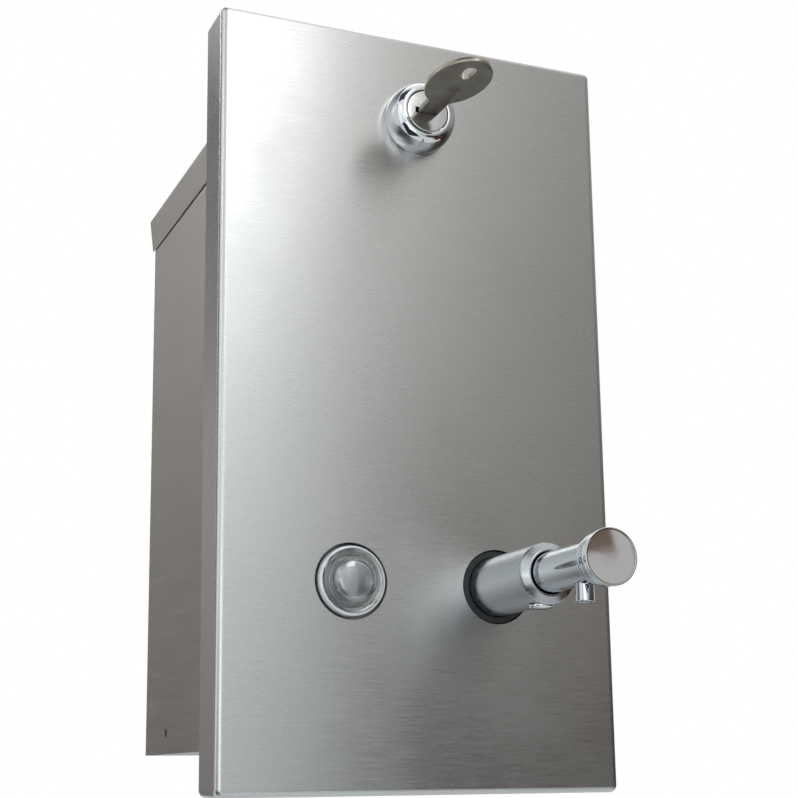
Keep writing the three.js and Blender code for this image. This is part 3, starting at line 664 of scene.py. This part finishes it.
def outline_loop(half: float, low: float, high: float, radius: float) -> list[Point]:
    """The points of an upright rectangle with round corners.

    Args:
        half: Half its width.
        low: The height of its bottom.
        high: The height of its top.
        radius: The radius of its corners.

    Returns:
        The points as X and Z, counterclockwise seen from the room.
    """
    centres = ((half - radius, low + radius), (half - radius, high - radius),
               (radius - half, high - radius), (radius - half, low + radius))
    points = []
    for quarter, (x, z) in enumerate(centres):
        for i in range(FOLD_STEPS + 1):
            angle = (quarter - 1 + i / FOLD_STEPS) * math.pi / 2
            points.append((x + radius * math.cos(angle), z + radius * math.sin(angle)))
    return points


def pan_shape(name: str, low: Vector, high: Vector, corner: float, bend: float) -> Object:
    """A closed block shaped like a pan's outside or inside.

    Args:
        name: The object's name.
        low: The lower corner of its box, at its front.
        high: The upper corner of its box, at its open side.
        corner: The radius of its corners.
        bend: The radius of the fold between sides and front.

    Returns:
        The block.
    """
    stations = [(high.y, 0.0), (low.y + bend * FOLD_START, 0.0)]
    for i in range(FOLD_STEPS + 1):
        angle = i / FOLD_STEPS * math.pi / 2
        stations.append((low.y + bend - bend * math.sin(angle), bend - bend * math.cos(angle)))
    stations.append((low.y, bend * FOLD_END))
    loops = []
    for y, inset in stations:
        radius = max(corner - inset, LEAST_CORNER)
        points = outline_loop(high.x - inset, low.z + inset, high.z - inset, radius)
        loops.append([(x, y, z) for x, z in points])
    return skinned(name, loops)


def measured(node: str) -> tuple[Vector, Vector, Vector, float]:
    """Measures a CAD node.

    Args:
        node: Its name.

    Returns:
        The lower and upper corner of its box, its middle and half its width.
    """
    low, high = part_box(node)
    return low, high, (low + high) / 2, (high.x - low.x) / 2


def fit_in(made: Object, body: str, finish: Material, node: str) -> None:
    """Gives a piece its finish, its body and the CAD node that it stands for.

    Args:
        made: The piece.
        body: The CAD body that it moves with.
        finish: Its material.
        node: The CAD node that it stands for.
    """
    made.data.materials.clear()
    made.data.materials.append(finish)
    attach(made, body)
    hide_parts(node)
    log.info("%s stands for %s", made.name, node)


@dataclass
class SubAssembly:
    """A group of pieces, and the finishes that they get."""

    finishes: Finishes

    def ring_like(self, node: str, name: str, edge: float, slot: str, finish: Material) -> None:
        """Builds a smooth ring the size of a CAD ring of the housing.

        Args:
            node: The CAD node.
            name: The piece's name.
            edge: How far its edges are rounded.
            slot: Not used.
            finish: Its material.
        """
        low, high, at, outside = measured(node)
        inside = min(math.hypot(v.co.x - at.x, v.co.z - at.z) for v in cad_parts[node].data.vertices)
        ring = turned(name, [(inside, low.y, edge), (outside, low.y, edge), (outside, high.y, edge),
                             (inside, high.y, edge)], at, closed=True)
        fit_in(ring, "housing", finish, node)


@dataclass
class CoverPan(SubAssembly):
    """The brushed cover pan with its holes."""

    sheet: float = 0.0012
    corner: float = 0.003
    bend: float = 0.0026
    wide_hole: float = 0.0146
    lock_hole: float = 0.0091
    overrun: float = 0.002

    def build(self) -> None:
        """Builds the pan."""
        low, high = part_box("front_cover")
        thick = self.sheet
        pan = pan_shape("cover_pan", low, high, self.corner, self.bend)
        tools = [pan_shape(
            "inside", low + Vector((0, thick, thick)), high + Vector((-thick, self.overrun, -thick)),
            self.corner - thick, self.bend - thick)]
        start, end = low.y - self.overrun, low.y + 2 * self.overrun
        for node, radius in (("window_lens", self.wide_hole), ("valve_sleeve", self.wide_hole),
                             ("lock_body", self.lock_hole)):
            tools.append(drill(radius, start, end, measured(node)[2], ROUND_STEPS, upright=False))
        carve(pan, tools)
        fit_in(pan, "cover", self.finishes.cover, "front_cover")


@dataclass
class SightWindow(SubAssembly):
    """The clear window: a flange with a raised lip, a trough and a domed cup in the middle."""

    shank: float = 0.0114
    shank_length: float = 0.01
    lip_proud: float = 0.002
    crest: float = 0.0131
    ridge: float = 0.0123
    lip: float = 0.0115
    trough: float = 0.0099
    trough_depth: float = 0.001
    cup: float = 0.0088
    cup_proud: float = 0.0066
    wall: float = 0.0021
    bore: float = 0.0092
    margin: float = 0.0002

    def build(self) -> None:
        """Builds lens and gasket."""
        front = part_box("front_cover")[0].y
        low, high, at, flange = measured("window_lens")
        seat = high.y - self.shank_length
        lip_top = front - self.lip_proud
        trough = lip_top + self.trough_depth
        cup_top = front - self.cup_proud
        inside = self.cup - self.wall
        lens = turned("sight_lens", [
            (self.bore, high.y, 0.0004), (self.shank, high.y, 0.0004), (self.shank, seat, 0.0002),
            (flange, seat, 0.0004), (flange, front, 0.001), (self.crest, lip_top, 0.0009),
            (self.lip, lip_top, 0.0006), (self.trough, trough, 0.0006), (self.cup + 0.0001, trough, 0.0005),
            (self.cup - 0.0003, cup_top, 0.0022), (self.cup * 0.5, low.y + 0.0002, 0.003),
            (0, low.y), (0, low.y + self.wall), (inside, cup_top + self.wall, 0.0016),
            (inside, trough, 0.001), (self.bore, trough + self.wall, 0.0006),
        ], at, closed=True)
        fit_in(lens, "housing", self.finishes.clear, "window_lens")
        lens.visible_shadow = False
        lens.data.materials.append(self.finishes.film)
        # The lip faces get the painted highlight, a pale near-opaque band on a lip that is as clear as the
        # rest of the lens.
        lens.data.materials.append(self.finishes.rim)
        for face in lens.data.polygons:
            reach = math.hypot(face.center.x - at.x, face.center.z - at.z)
            in_cup = reach < inside + self.margin and cup_top < face.center.y < trough + self.wall
            painted_light_lip = self.ridge < reach < self.crest + 3 * self.margin and face.center.y < front
            face.material_index = 1 if in_cup else 2 * int(painted_light_lip)
        self.ring_like("window_gasket", "window_ring", 0.0004, "rubber", self.finishes.silicone)


@dataclass
class PushValve(SubAssembly):
    """The parts of the valve that stay still: sleeve, gasket, bush, wiper and screw."""

    bore: float = 0.00865
    nose: float = 0.0018
    land: float = 0.0086
    mouth: float = 0.008
    lip: float = 0.0016
    screw_pocket: float = 0.0052
    screw_flat: float = 0.0109
    screw_hole: float = 0.0021
    screw_shank: float = 0.0019
    screw_head: float = 0.0017
    screw_edge: float = 0.0009
    screw_dome: float = 0.00015
    slot_half: float = 0.0004
    slot_depth: float = 0.0006
    gasket_bore: float = 0.00945
    gasket_floor: float = 0.0015
    gasket_play: float = 0.0001

    def build(self) -> None:
        """Builds the pieces that show."""
        low, high, axis, radius = measured("valve_sleeve")
        front = low.y + self.nose
        sleeve = turned("outer_sleeve", [
            (self.bore, high.y), (radius, high.y), (radius, front, 0.0006), (self.land, low.y, 0.0004),
            (self.mouth, low.y, 0.0002), (self.mouth, front + self.lip), (self.bore, front + self.lip),
        ], axis, closed=True)
        screw = measured("bush_screw")[2]
        under = axis.z - radius - OVERCUT
        carve(sleeve, [
            drill(self.screw_pocket, under, axis.z - self.screw_flat, screw, DRILL_STEPS),
            drill(self.screw_hole, under, axis.z - self.bore + OVERCUT, screw, HOLE_STEPS),
        ])
        fit_in(sleeve, "housing", self.finishes.satin, "valve_sleeve")
        self.build_gasket(radius)
        self.ring_like("wiper_seal", "wiper_ring", 0.0004, "rubber", self.finishes.rubber)
        self.ring_like("guide_bush", "plunger_bush", 0.0003, "satin_chrome", self.finishes.satin)
        self.build_screw()

    def build_gasket(self, inside: float) -> None:
        """Builds the rubber cup round the sleeve's foot.

        Args:
            inside: The sleeve's radius.
        """
        low, high, at, outside = measured("valve_gasket")
        fitted = inside + self.gasket_play
        floor = high.y - self.gasket_floor
        cup = turned("valve_ring", [
            (self.gasket_bore, high.y), (outside, high.y, 0.0003), (outside, low.y, 0.0007),
            (fitted, low.y, 0.0006), (fitted, floor), (self.gasket_bore, floor),
        ], at, closed=True)
        fit_in(cup, "housing", self.finishes.rubber, "valve_gasket")

    def build_screw(self) -> None:
        """Builds the domed screw under the sleeve, with a slot across its head."""
        low, high, at, head = measured("bush_screw")
        shoulder = low.z + self.screw_head
        screw = turned("bush_screw_dome", [
            (0, high.z), (self.screw_shank, high.z, 0.0002), (self.screw_shank, shoulder),
            (head, shoulder), (head, low.z + self.screw_edge, 0.0005),
            (head * 0.7, low.z + self.screw_dome, 0.0012), (0, low.z),
        ], at, steps=DRILL_STEPS, upright=True)
        carve(screw, [block((at.x - head, at.y - self.slot_half, low.z - OVERCUT),
                            (at.x + head, at.y + self.slot_half, low.z + self.slot_depth))])
        fit_in(screw, "housing", self.finishes.chrome, "bush_screw")


@dataclass
class Plunger(SubAssembly):
    """The moving parts of the valve: tube, head, spout and button."""

    bore: float = 0.00315
    stop: float = 0.0018
    tube: float = 0.0075
    stem_bore: float = 0.00415
    stem_depth: float = 0.009
    spout_hole: float = 0.00345
    spout_reach: float = 0.012
    spout_seat: float = 0.0048
    spout_bore: float = 0.0023
    spout_sides: int = 96
    socket: float = 0.00765
    socket_floor: float = 0.0021
    bead: float = 0.0089
    bead_length: float = 0.0014
    neck: float = 0.0085
    cone: float = 0.0018
    rim: float = 0.0005
    step: float = 0.00007
    dish: float = 0.00012
    stud: float = 0.003
    boss: float = 0.0055
    boss_height: float = 0.0006
    thickness: float = 0.0024

    def build(self) -> None:
        """Builds the pieces that show."""
        self.build_tube()
        self.build_head()
        self.build_button()
        self.build_spout()

    def build_tube(self) -> None:
        """Builds the thin tube with its stop flange and spout hole."""
        low, high, at, flange = measured("plunger_tube")
        tube = turned("plunger_sleeve", [
            (self.bore, low.y), (self.tube, low.y, 0.0003), (self.tube, high.y - self.stop),
            (flange, high.y - self.stop, 0.0003), (flange, high.y, 0.0003), (self.stem_bore, high.y),
            (self.stem_bore, high.y - self.stem_depth), (self.bore, high.y - self.stem_depth),
        ], at, closed=True)
        carve(tube, [drill(self.spout_hole, at.z - self.spout_reach, at.z - self.spout_seat,
                           measured("spout_tube")[2], DRILL_STEPS)])
        fit_in(tube, "plunger", self.finishes.bright, "plunger_tube")

    def build_head(self) -> None:
        """Builds the beaded collar."""
        low, high, at, outer = measured("plunger_head")
        bead_front = high.y - self.bead_length
        head = turned("beaded_head", [
            (self.socket, high.y), (self.bead, high.y, 0.0006), (self.bead, bead_front, 0.0006),
            (self.neck, bead_front, 0.0001), (outer, bead_front - self.cone, 0.0005),
            (outer, low.y, 0.0005), (self.bore, low.y),
            (self.bore, low.y + self.socket_floor), (self.socket, low.y + self.socket_floor),
        ], at, closed=True)
        fit_in(head, "plunger", self.finishes.bright, "plunger_head")

    def build_button(self) -> None:
        """Builds the dished button with its rim."""
        low, high, at, outer = measured("push_button")
        back = low.y + self.thickness
        hollow = outer - self.rim
        floor = low.y + self.step
        corners = [
            (0, high.y), (self.stud, high.y, 0.0003), (self.stud, back + self.boss_height),
            (self.boss, back + self.boss_height), (self.boss, back), (outer, back, 0.0006),
            (outer, low.y, 0.0004), (hollow + 0.0001, low.y, 0.0003), (hollow - 0.0003, floor, 0.0003),
        ]
        corners += [(hollow * share, floor + self.dish * (1 - share ** 2))
                    for share in (0.75, 0.5, 0.25, 0.0)]
        fit_in(turned("button_disc", corners, at), "plunger", self.finishes.chrome, "push_button")

    def build_spout(self) -> None:
        """Builds the spout that points down."""
        low, high, at, outer = measured("spout_tube")
        spout = turned("spout_pipe", [
            (self.spout_bore, high.z), (outer, high.z),
            (outer, low.z, 0.0006), (self.spout_bore, low.z, 0.0003),
        ], at, closed=True, steps=self.spout_sides, upright=True)
        fit_in(spout, "plunger", self.finishes.bright, "spout_tube")


@dataclass
class ReturnSpring(SubAssembly):
    """The coil spring behind the plunger's stop, built as one coil of fixed length."""

    wire: float = 0.0006
    turns: int = 5
    steps: int = 48
    sides: int = 12
    stroke: float = 0.012
    joint: str = "plunger_push"

    def build(self) -> None:
        """Builds the coil as one wire between the ends of the CAD spring."""
        low, high, at, outside = measured("return_spring")
        coil = outside - self.wire
        start, end = low.y + self.wire, high.y - self.wire
        loops = []
        count = self.turns * self.steps
        for i in range(count + 1):
            turn = 2 * math.pi * i / self.steps
            loops.append([])
            for k in range(self.sides):
                angle = 2 * math.pi * k / self.sides
                radius = coil + self.wire * math.cos(angle)
                along = start + (end - start) * i / count + self.wire * math.sin(angle)
                place = (at.x + radius * math.sin(turn), along, at.z + radius * math.cos(turn))
                loops[-1].append(place)
        spring = skinned("coil_spring", loops)
        fit_in(spring, "housing", self.finishes.inner, "return_spring")
        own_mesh(spring)


@dataclass
class CamLock(SubAssembly):
    """The cam lock's dome and plug."""

    gap: float = 0.0001
    widest: float = 0.003
    rim: float = 0.0099
    arc_steps: int = 20
    bore: float = 0.00895
    bore_depth: float = 0.006
    barrel: float = 0.009
    shank_bore: float = 0.0062
    flats: float = 0.00795
    flats_from: float = 0.0002
    clear_of_all: float = 0.02
    keyway_left: float = 0.0053
    keyway_right: float = 0.00405
    keyway_height: float = 0.00125
    keyway_depth: float = 0.0185
    plug_play: float = 0.0002
    head_play: float = 0.0006
    tail: float = 0.0015

    def build(self) -> None:
        """Builds dome and plug."""
        low, high, at, outside = measured("lock_body")
        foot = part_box("front_cover")[0].y - self.gap
        height = foot - self.widest - low.y
        lowest = -math.asin(self.widest / height)
        corners = [(self.shank_bore, high.y), (self.barrel, high.y, 0.0004), (self.barrel, foot)]
        for i in range(self.arc_steps + 1):
            angle = lowest + i / self.arc_steps * (math.pi / 2 - lowest)
            corners.append((self.rim + (outside - self.rim) * math.cos(angle),
                            foot - self.widest - height * math.sin(angle)))
        floor = low.y + self.bore_depth
        corners += [(self.bore, low.y, 0.0003), (self.bore, floor), (self.shank_bore, floor)]
        dome = turned("lock_dome", corners, at, closed=True)
        far, start, end = self.clear_of_all, foot + self.flats_from, high.y + OVERCUT
        carve(dome, [block((-far, start, at.z + self.flats), (far, end, at.z + far)),
                     block((-far, start, at.z - far), (far, end, at.z - self.flats))])
        fit_in(dome, "cover", self.finishes.chrome, "lock_body")
        self.build_plug()

    def build_plug(self) -> None:
        """Builds the plug's face and its shank with the keyway."""
        low, high, at, radius = measured("lock_plug")
        head_back = low.y + self.bore_depth - self.head_play
        shank, shank_end = self.shank_bore - self.plug_play, high.y - self.tail
        plug = turned("plug_face", [
            (0, low.y), (radius, low.y, 0.0005), (radius, head_back),
            (shank, head_back), (shank, shank_end), (0, shank_end),
        ], at)
        carve(plug, [block((-self.keyway_left, low.y - OVERCUT, at.z - self.keyway_height),
                           (self.keyway_right, low.y + self.keyway_depth, at.z + self.keyway_height))])
        fit_in(plug, "lock", self.finishes.face, "lock_plug")


@dataclass
class Key(SubAssembly):
    """The key: blade with cuts, stem, oval bow and ring hole."""

    blade: float = 0.0038
    tip: float = 0.0016
    shoulder: float = 0.0043
    blade_length: float = 0.0183
    cut: float = 0.0012
    cuts: int = 4
    cut_floor: Point = (0.4, 0.6)
    groove: float = 0.0007
    groove_depth: float = 0.0005
    neck: float = 0.0064
    bow_length: float = 0.038
    bow_steps: int = 96
    hole: float = 0.0023
    hole_length: float = 0.0095
    hole_from_end: float = 0.0105
    hole_steps: int = 24
    edge: float = 0.0003

    def build(self) -> None:
        """Builds the key."""
        low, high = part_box("key")
        shoulder = high.y - self.blade_length
        run = self.hole_length / 2 - self.hole
        ring = []
        for side, centre in enumerate((low.y + self.hole_from_end + run, low.y + self.hole_from_end - run)):
            for i in range(self.hole_steps + 1):
                angle = (side + i / self.hole_steps) * math.pi
                ring.append((self.hole * math.cos(angle), centre + self.hole * math.sin(angle)))
        key, hole = (
            skinned(name, [[(x, y, z) for x, y in points] for z in (low.z - spare, high.z + spare)])
            for name, points, spare in (("key_blade_and_bow", self.outline(high.x, low.y, shoulder), 0.0),
                                        ("ring_hole", ring, OVERCUT)))
        ease(key, self.edge)
        carve(key, [hole, block((-self.groove, shoulder, high.z - self.groove_depth),
                                (self.groove, high.y + OVERCUT, high.z + OVERCUT))])
        fit_in(key, "key", self.finishes.nickel, "key")

    def outline(self, half_bow: float, end: float, shoulder: float) -> list[Point]:
        """The key's outline seen from above.

        Args:
            half_bow: Half the bow's width.
            end: Where the bow ends, along Y.
            shoulder: Where the blade begins, along Y.

        Returns:
            Its points.
        """
        tip = shoulder + self.blade_length
        points = [(self.shoulder, shoulder), (self.blade, shoulder)]
        pitch = (self.blade_length - 2 * self.tip) / self.cuts
        for i in range(self.cuts):
            start = shoulder + self.tip + i * pitch
            points.append((self.blade, start))
            points += [(self.blade - self.cut, start + pitch * share) for share in self.cut_floor]
        points += [(self.blade, tip - self.tip), (self.blade - self.tip, tip), (self.tip - self.blade, tip),
                   (-self.blade, tip - self.tip), (-self.blade, shoulder), (-self.shoulder, shoulder)]
        half_length = self.bow_length / 2
        centre = end + half_length
        meet = math.asin(self.neck / half_bow)
        corner = centre + half_length * math.cos(math.asin(self.shoulder / half_bow))
        curve = bent(Vector((self.shoulder, corner + self.neck - self.shoulder)),
                     Vector((self.shoulder, corner)),
                     Vector((self.neck, centre + half_length * math.cos(meet))), FOLD_STEPS)
        points += [(-x, y) for x, y in curve[:-1]]
        for i in range(self.bow_steps + 1):
            angle = math.pi / 2 + meet + i / self.bow_steps * (2 * math.pi - 2 * meet)
            points.append((half_bow * math.cos(angle), centre + half_length * math.sin(angle)))
        return points + curve[-2::-1]


@dataclass
class HiddenWorks(SubAssembly):
    """The CAD nodes that are shown as they are: housing, tank and the valve's inner works."""

    NODES_OF = {
        "body": ("housing_shell", "housing_cap"),
        "inner": ("lock_keeper", "tank_shelf", "hanger_rail", "tank_shell", "tank_roof", "tank_hanger",
                  "filler_lid", "cover_peg_left", "cover_peg_right", "lock_cam", "cam_screw"),
        "chrome": ("lid_pin", "inlet_ball", "outlet_ball"),
        "plastic": ("window_nut", "inlet_cap"),
        "brass": ("valve_body", "valve_nut", "plunger_stem"),
        "rubber": ("valve_washer", "piston_seal"),
        "white": ("dip_tube",),
        "nickel": ("lock_nut",),
    }

    def build(self) -> None:
        """Gives each node its finish."""
        for finish, nodes in self.NODES_OF.items():
            for node in nodes:
                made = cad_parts[node]
                made.data.materials.clear()
                made.data.materials.append(getattr(self.finishes, finish))
                log.info("%s is shown as it is", node)


def only_reflected(made: Object, look: Material) -> None:
    """Stages an object that only metal and plastic see.

    Args:
        made: The object.
        look: Its material.
    """
    made.visible_camera = made.visible_diffuse = made.visible_shadow = False
    made.data.materials.append(look)


@dataclass
class ShadePanel:
    """A curved panel round the object that only its metal sees.

    Attributes:
        name: Its name.
        start: Where it begins, in degrees to the right of straight in front.
        end: Where it ends.
        heights: Its lower and upper edge.
        across: Its brightness from start to end, as shares of the way and values.
        upward: What its brightness is multiplied with from the lower to the upper edge.
        tint: Its colour.
        radius: How far it stands from the object's middle.
        steps: How many flat faces it has.
    """

    name: str
    start: float
    end: float
    heights: Point
    across: tuple[Point, ...]
    upward: tuple[Point, ...]
    tint: Colour = (1.0, 0.965, 0.93)
    radius: float = 1.5
    steps: int = 32

    def build(self) -> None:
        """Builds the panel."""
        shape = bmesh.new()
        rows = []
        for z in self.heights:
            rows.append([])
            for i in range(self.steps + 1):
                angle = math.radians(self.start + (self.end - self.start) * i / self.steps)
                place = (self.radius * math.sin(angle), -self.radius * math.cos(angle), z)
                rows[-1].append(shape.verts.new(place))
        for i in range(self.steps):
            shape.faces.new((rows[0][i], rows[0][i + 1], rows[1][i + 1], rows[1][i]))
        only_reflected(finished(self.name, shape), self.mix())

    def mix(self) -> Material:
        """Makes its material.

        Returns:
            The material.
        """
        material, glow = glowing(self.name, self.tint)
        tree = material.node_tree
        spot = grown(tree, "ShaderNodeTexCoord", {}).outputs["Object"]
        place = grown(tree, "ShaderNodeSeparateXYZ", {0: spot}).outputs
        angle = reckoned(tree, "ARCTAN2", place["X"], reckoned(tree, "MULTIPLY", place["Y"], -1.0))
        turn = self.ramp(tree, angle, (math.radians(self.start), math.radians(self.end)), self.across)
        rise = self.ramp(tree, place["Z"], self.heights, self.upward)
        tree.links.new(reckoned(tree, "MULTIPLY", turn, rise), glow.inputs["Strength"])
        return material

    @staticmethod
    def ramp(tree: bpy.types.NodeTree, value: Socket, span: Point, stops: tuple[Point, ...]) -> Socket:
        """Adds a brightness that follows a value.

        Args:
            tree: The node tree.
            value: The value that it follows.
            span: The value's range.
            stops: Shares of that range and the brightness there.

        Returns:
            The socket that gives the brightness.
        """
        share = grown(tree, "ShaderNodeMapRange", {"Value": value, "From Min": span[0], "From Max": span[1]})
        ramp = grown(tree, "ShaderNodeValToRGB", {"Fac": share.outputs["Result"]})
        points = ramp.color_ramp.elements
        while len(points) < len(stops):
            points.new(0.5)
        for point, (at, level) in zip(points, stops):
            point.position = at
            point.color = (level, level, level, 1)
        return ramp.outputs["Color"]


PANELS = (
    ShadePanel(
        "right_panel", 18, 110, (-1.2, 1.3),
        across=((0, 0.95), (0.07, 0.58), (0.14, 0.44), (0.22, 0.27), (0.33, 0.35), (1, 0.5)),
        upward=((0, 0.05), (0.4, 0.06), (0.52, 0.32), (0.64, 0.76), (0.76, 1)),
        tint=(1.03, 1, 0.97),
    ),
    ShadePanel(
        "front_panel", -60, 17.9, (-1.2, 0.6),
        across=((0, 0.9), (0.5, 0.97), (0.82, 0.97), (0.93, 0.66), (1, 0.64)),
        upward=((0, 0.4), (0.58, 0.62), (0.82, 0.9), (1, 1)),
        tint=(1.32, 1.4, 1.4),
    ),
    ShadePanel(
        "button_card", 26, 36, (0, 0.2), radius=1.4,
        across=((0, 0.6), (1, 0.6)),
        upward=((0, 1), (1, 0.9)),
    ),
    ShadePanel(
        "left_panel", -118, -60.1, (-0.4, 1.2),
        across=((0, 0.12), (0.4, 0.2), (0.65, 0.9), (1, 0.95)),
        upward=((0, 1), (1, 1)),
        tint=(1.25, 1.26, 1.3),
    ),
    ShadePanel(
        "rear_left_panel", -180, -120, (-0.7, 1.1),
        across=((0, 0.55), (1, 0.5)),
        upward=((0, 0.3), (0.34, 0.48), (0.475, 0.66), (0.6, 0.76), (0.72, 0.38), (1, 0.25)),
    ),
)


@dataclass
class Studio:
    """World, floor, lamps, panels, cards and camera."""

    lens: float = 67.463
    sensor: float = 36
    shift: Point = (0.02, 0.1)
    place: Triple = (-0.23282, -0.64094, -0.13166)
    towards: Triple = (0.37649, 0.90544, 0.19606)
    roll: float = -0.66
    clip: Point = (0.05, 50)
    floor_drop: float = 0.6
    floor_size: float = 8
    front: Triple = (0, -0.12, 0)

    def build(self) -> None:
        """Builds them all."""
        self.build_world()
        self.build_floor()
        self.build_lamps()
        for panel in PANELS:
            panel.build()
        self.build_cards()
        self.build_camera()

    def build_world(self) -> None:
        """A soft grey room that shows white behind the object, in its metal and through its window."""
        world = bpy.data.worlds.new("studio")
        bpy.context.scene.world = world
        world.use_nodes = True
        tree = world.node_tree
        tree.nodes.clear()
        rays = grown(tree, "ShaderNodeLightPath", {}).outputs
        seen = reckoned(tree, "MAXIMUM", rays["Is Camera Ray"], rays["Is Glossy Ray"])
        seen = reckoned(tree, "MAXIMUM", seen, rays["Is Transmission Ray"])
        soft, white = (
            grown(tree, "ShaderNodeBackground", {"Color": (*colour, 1), "Strength": strength}).outputs[0]
            for colour, strength in (((0.9, 0.95, 1.0), 0.7), ((1, 1, 1), 1.0)))
        mix = grown(tree, "ShaderNodeMixShader", {0: seen, 1: soft, 2: white})
        grown(tree, "ShaderNodeOutputWorld", {"Surface": mix.outputs[0]})

    def build_floor(self) -> None:
        """A plain pale floor below the object."""
        low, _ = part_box("front_cover")
        bpy.ops.mesh.primitive_plane_add(size=self.floor_size, location=(0, 0, low.z - self.floor_drop))
        floor = bpy.context.object
        floor.name = "floor"
        recipe = Recipe("pale floor", (0.86, 0.86, 0.85), 0.7, 0.0)
        recipe.bump(recipe.noise(0.02), 0.0004, 0.2)
        floor.data.materials.append(recipe.material)

    def build_lamps(self) -> None:
        """Soft lamps in front, left and above, a narrow one behind and a small one at the camera.

        Each has its name, its place, its width and height, its power in watts and the point that it faces.
        """
        middle = (0, -0.1, 0)
        for name, place, size, power, aim in (
            ("key_lamp", (0.2, -1.58, 0.85), (0.5, 0.7), 3.0, middle),
            ("fill_lamp", (-1.5, -0.7, 0.5), (0.8, 1.0), 5, middle),
            ("top_lamp", (0.3, 0.5, 1.4), (0.9, 0.9), 5, middle),
            ("rim_lamp", (-1.0, 1.2, 0.9), (0.15, 0.8), 4, middle),
            ("flash", self.place, (0.3, 0.3), 0.35, self.front),
        ):
            data = bpy.data.lights.new(name, "AREA")
            data.shape = "RECTANGLE"
            data.size, data.size_y = size
            data.energy = power
            lamp = bpy.data.objects.new(name, data)
            lamp.visible_camera = False
            lamp.location = place
            lamp.rotation_euler = (Vector(aim) - Vector(place)).to_track_quat("-Z", "Y").to_euler()
            bpy.context.scene.collection.objects.link(lamp)

    def build_cards(self) -> None:
        """Small dark and brown cards that face the object, for chrome and plastic to reflect.

        Each has its name, its place, its width and height, and its colour, linear.
        """
        for name, place, size, colour in (
            ("low_dark_card", (-0.42, -0.5, -0.42), (0.75, 0.7), (0.03, 0.03, 0.04)),
            ("high_dark_card", (-0.75, -0.6, 1.6), (1.7, 0.9), (0.05, 0.06, 0.09)),
            ("side_brown_card", (0.94, -0.56, -0.47), (0.6, 0.5), (0.1, 0.05, 0.035)),
            ("front_brown_card", (0.6917, -1.146, 0.0178), (0.1664, 0.1715), (0.17, 0.115, 0.09)),
        ):
            bpy.ops.mesh.primitive_plane_add(size=1)
            card = bpy.context.object
            card.name = name
            card.location = place
            card.scale = (*size, 1)
            card.rotation_euler = (Vector(self.front) - Vector(place)).to_track_quat("Z", "Y").to_euler()
            only_reflected(card, glowing(name, colour)[0])

    def build_camera(self) -> None:
        """The camera at the photograph's place and angle."""
        data = bpy.data.cameras.new("camera")
        data.sensor_width = self.sensor
        data.lens = self.lens
        data.shift_x, data.shift_y = self.shift
        data.clip_start, data.clip_end = self.clip
        camera = bpy.data.objects.new("camera", data)
        camera.location = self.place
        turn = Vector(self.towards).to_track_quat("-Z", "Y").to_matrix()
        camera.rotation_euler = (turn @ Matrix.Rotation(math.radians(self.roll), 3, "Z")).to_euler()
        bpy.context.scene.collection.objects.link(camera)
        bpy.context.scene.camera = camera


def main() -> None:
    """Builds the dispenser and its studio."""
    logging.basicConfig(level=logging.INFO, format="%(message)s")
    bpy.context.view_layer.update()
    bpy.context.scene.view_settings.view_transform = "Standard"
    finishes = Finishes()
    for part in (CoverPan, SightWindow, PushValve, Plunger, ReturnSpring, CamLock, Key, HiddenWorks):
        part(finishes).build()
    Studio().build()


if __name__ == "__main__":
    main()
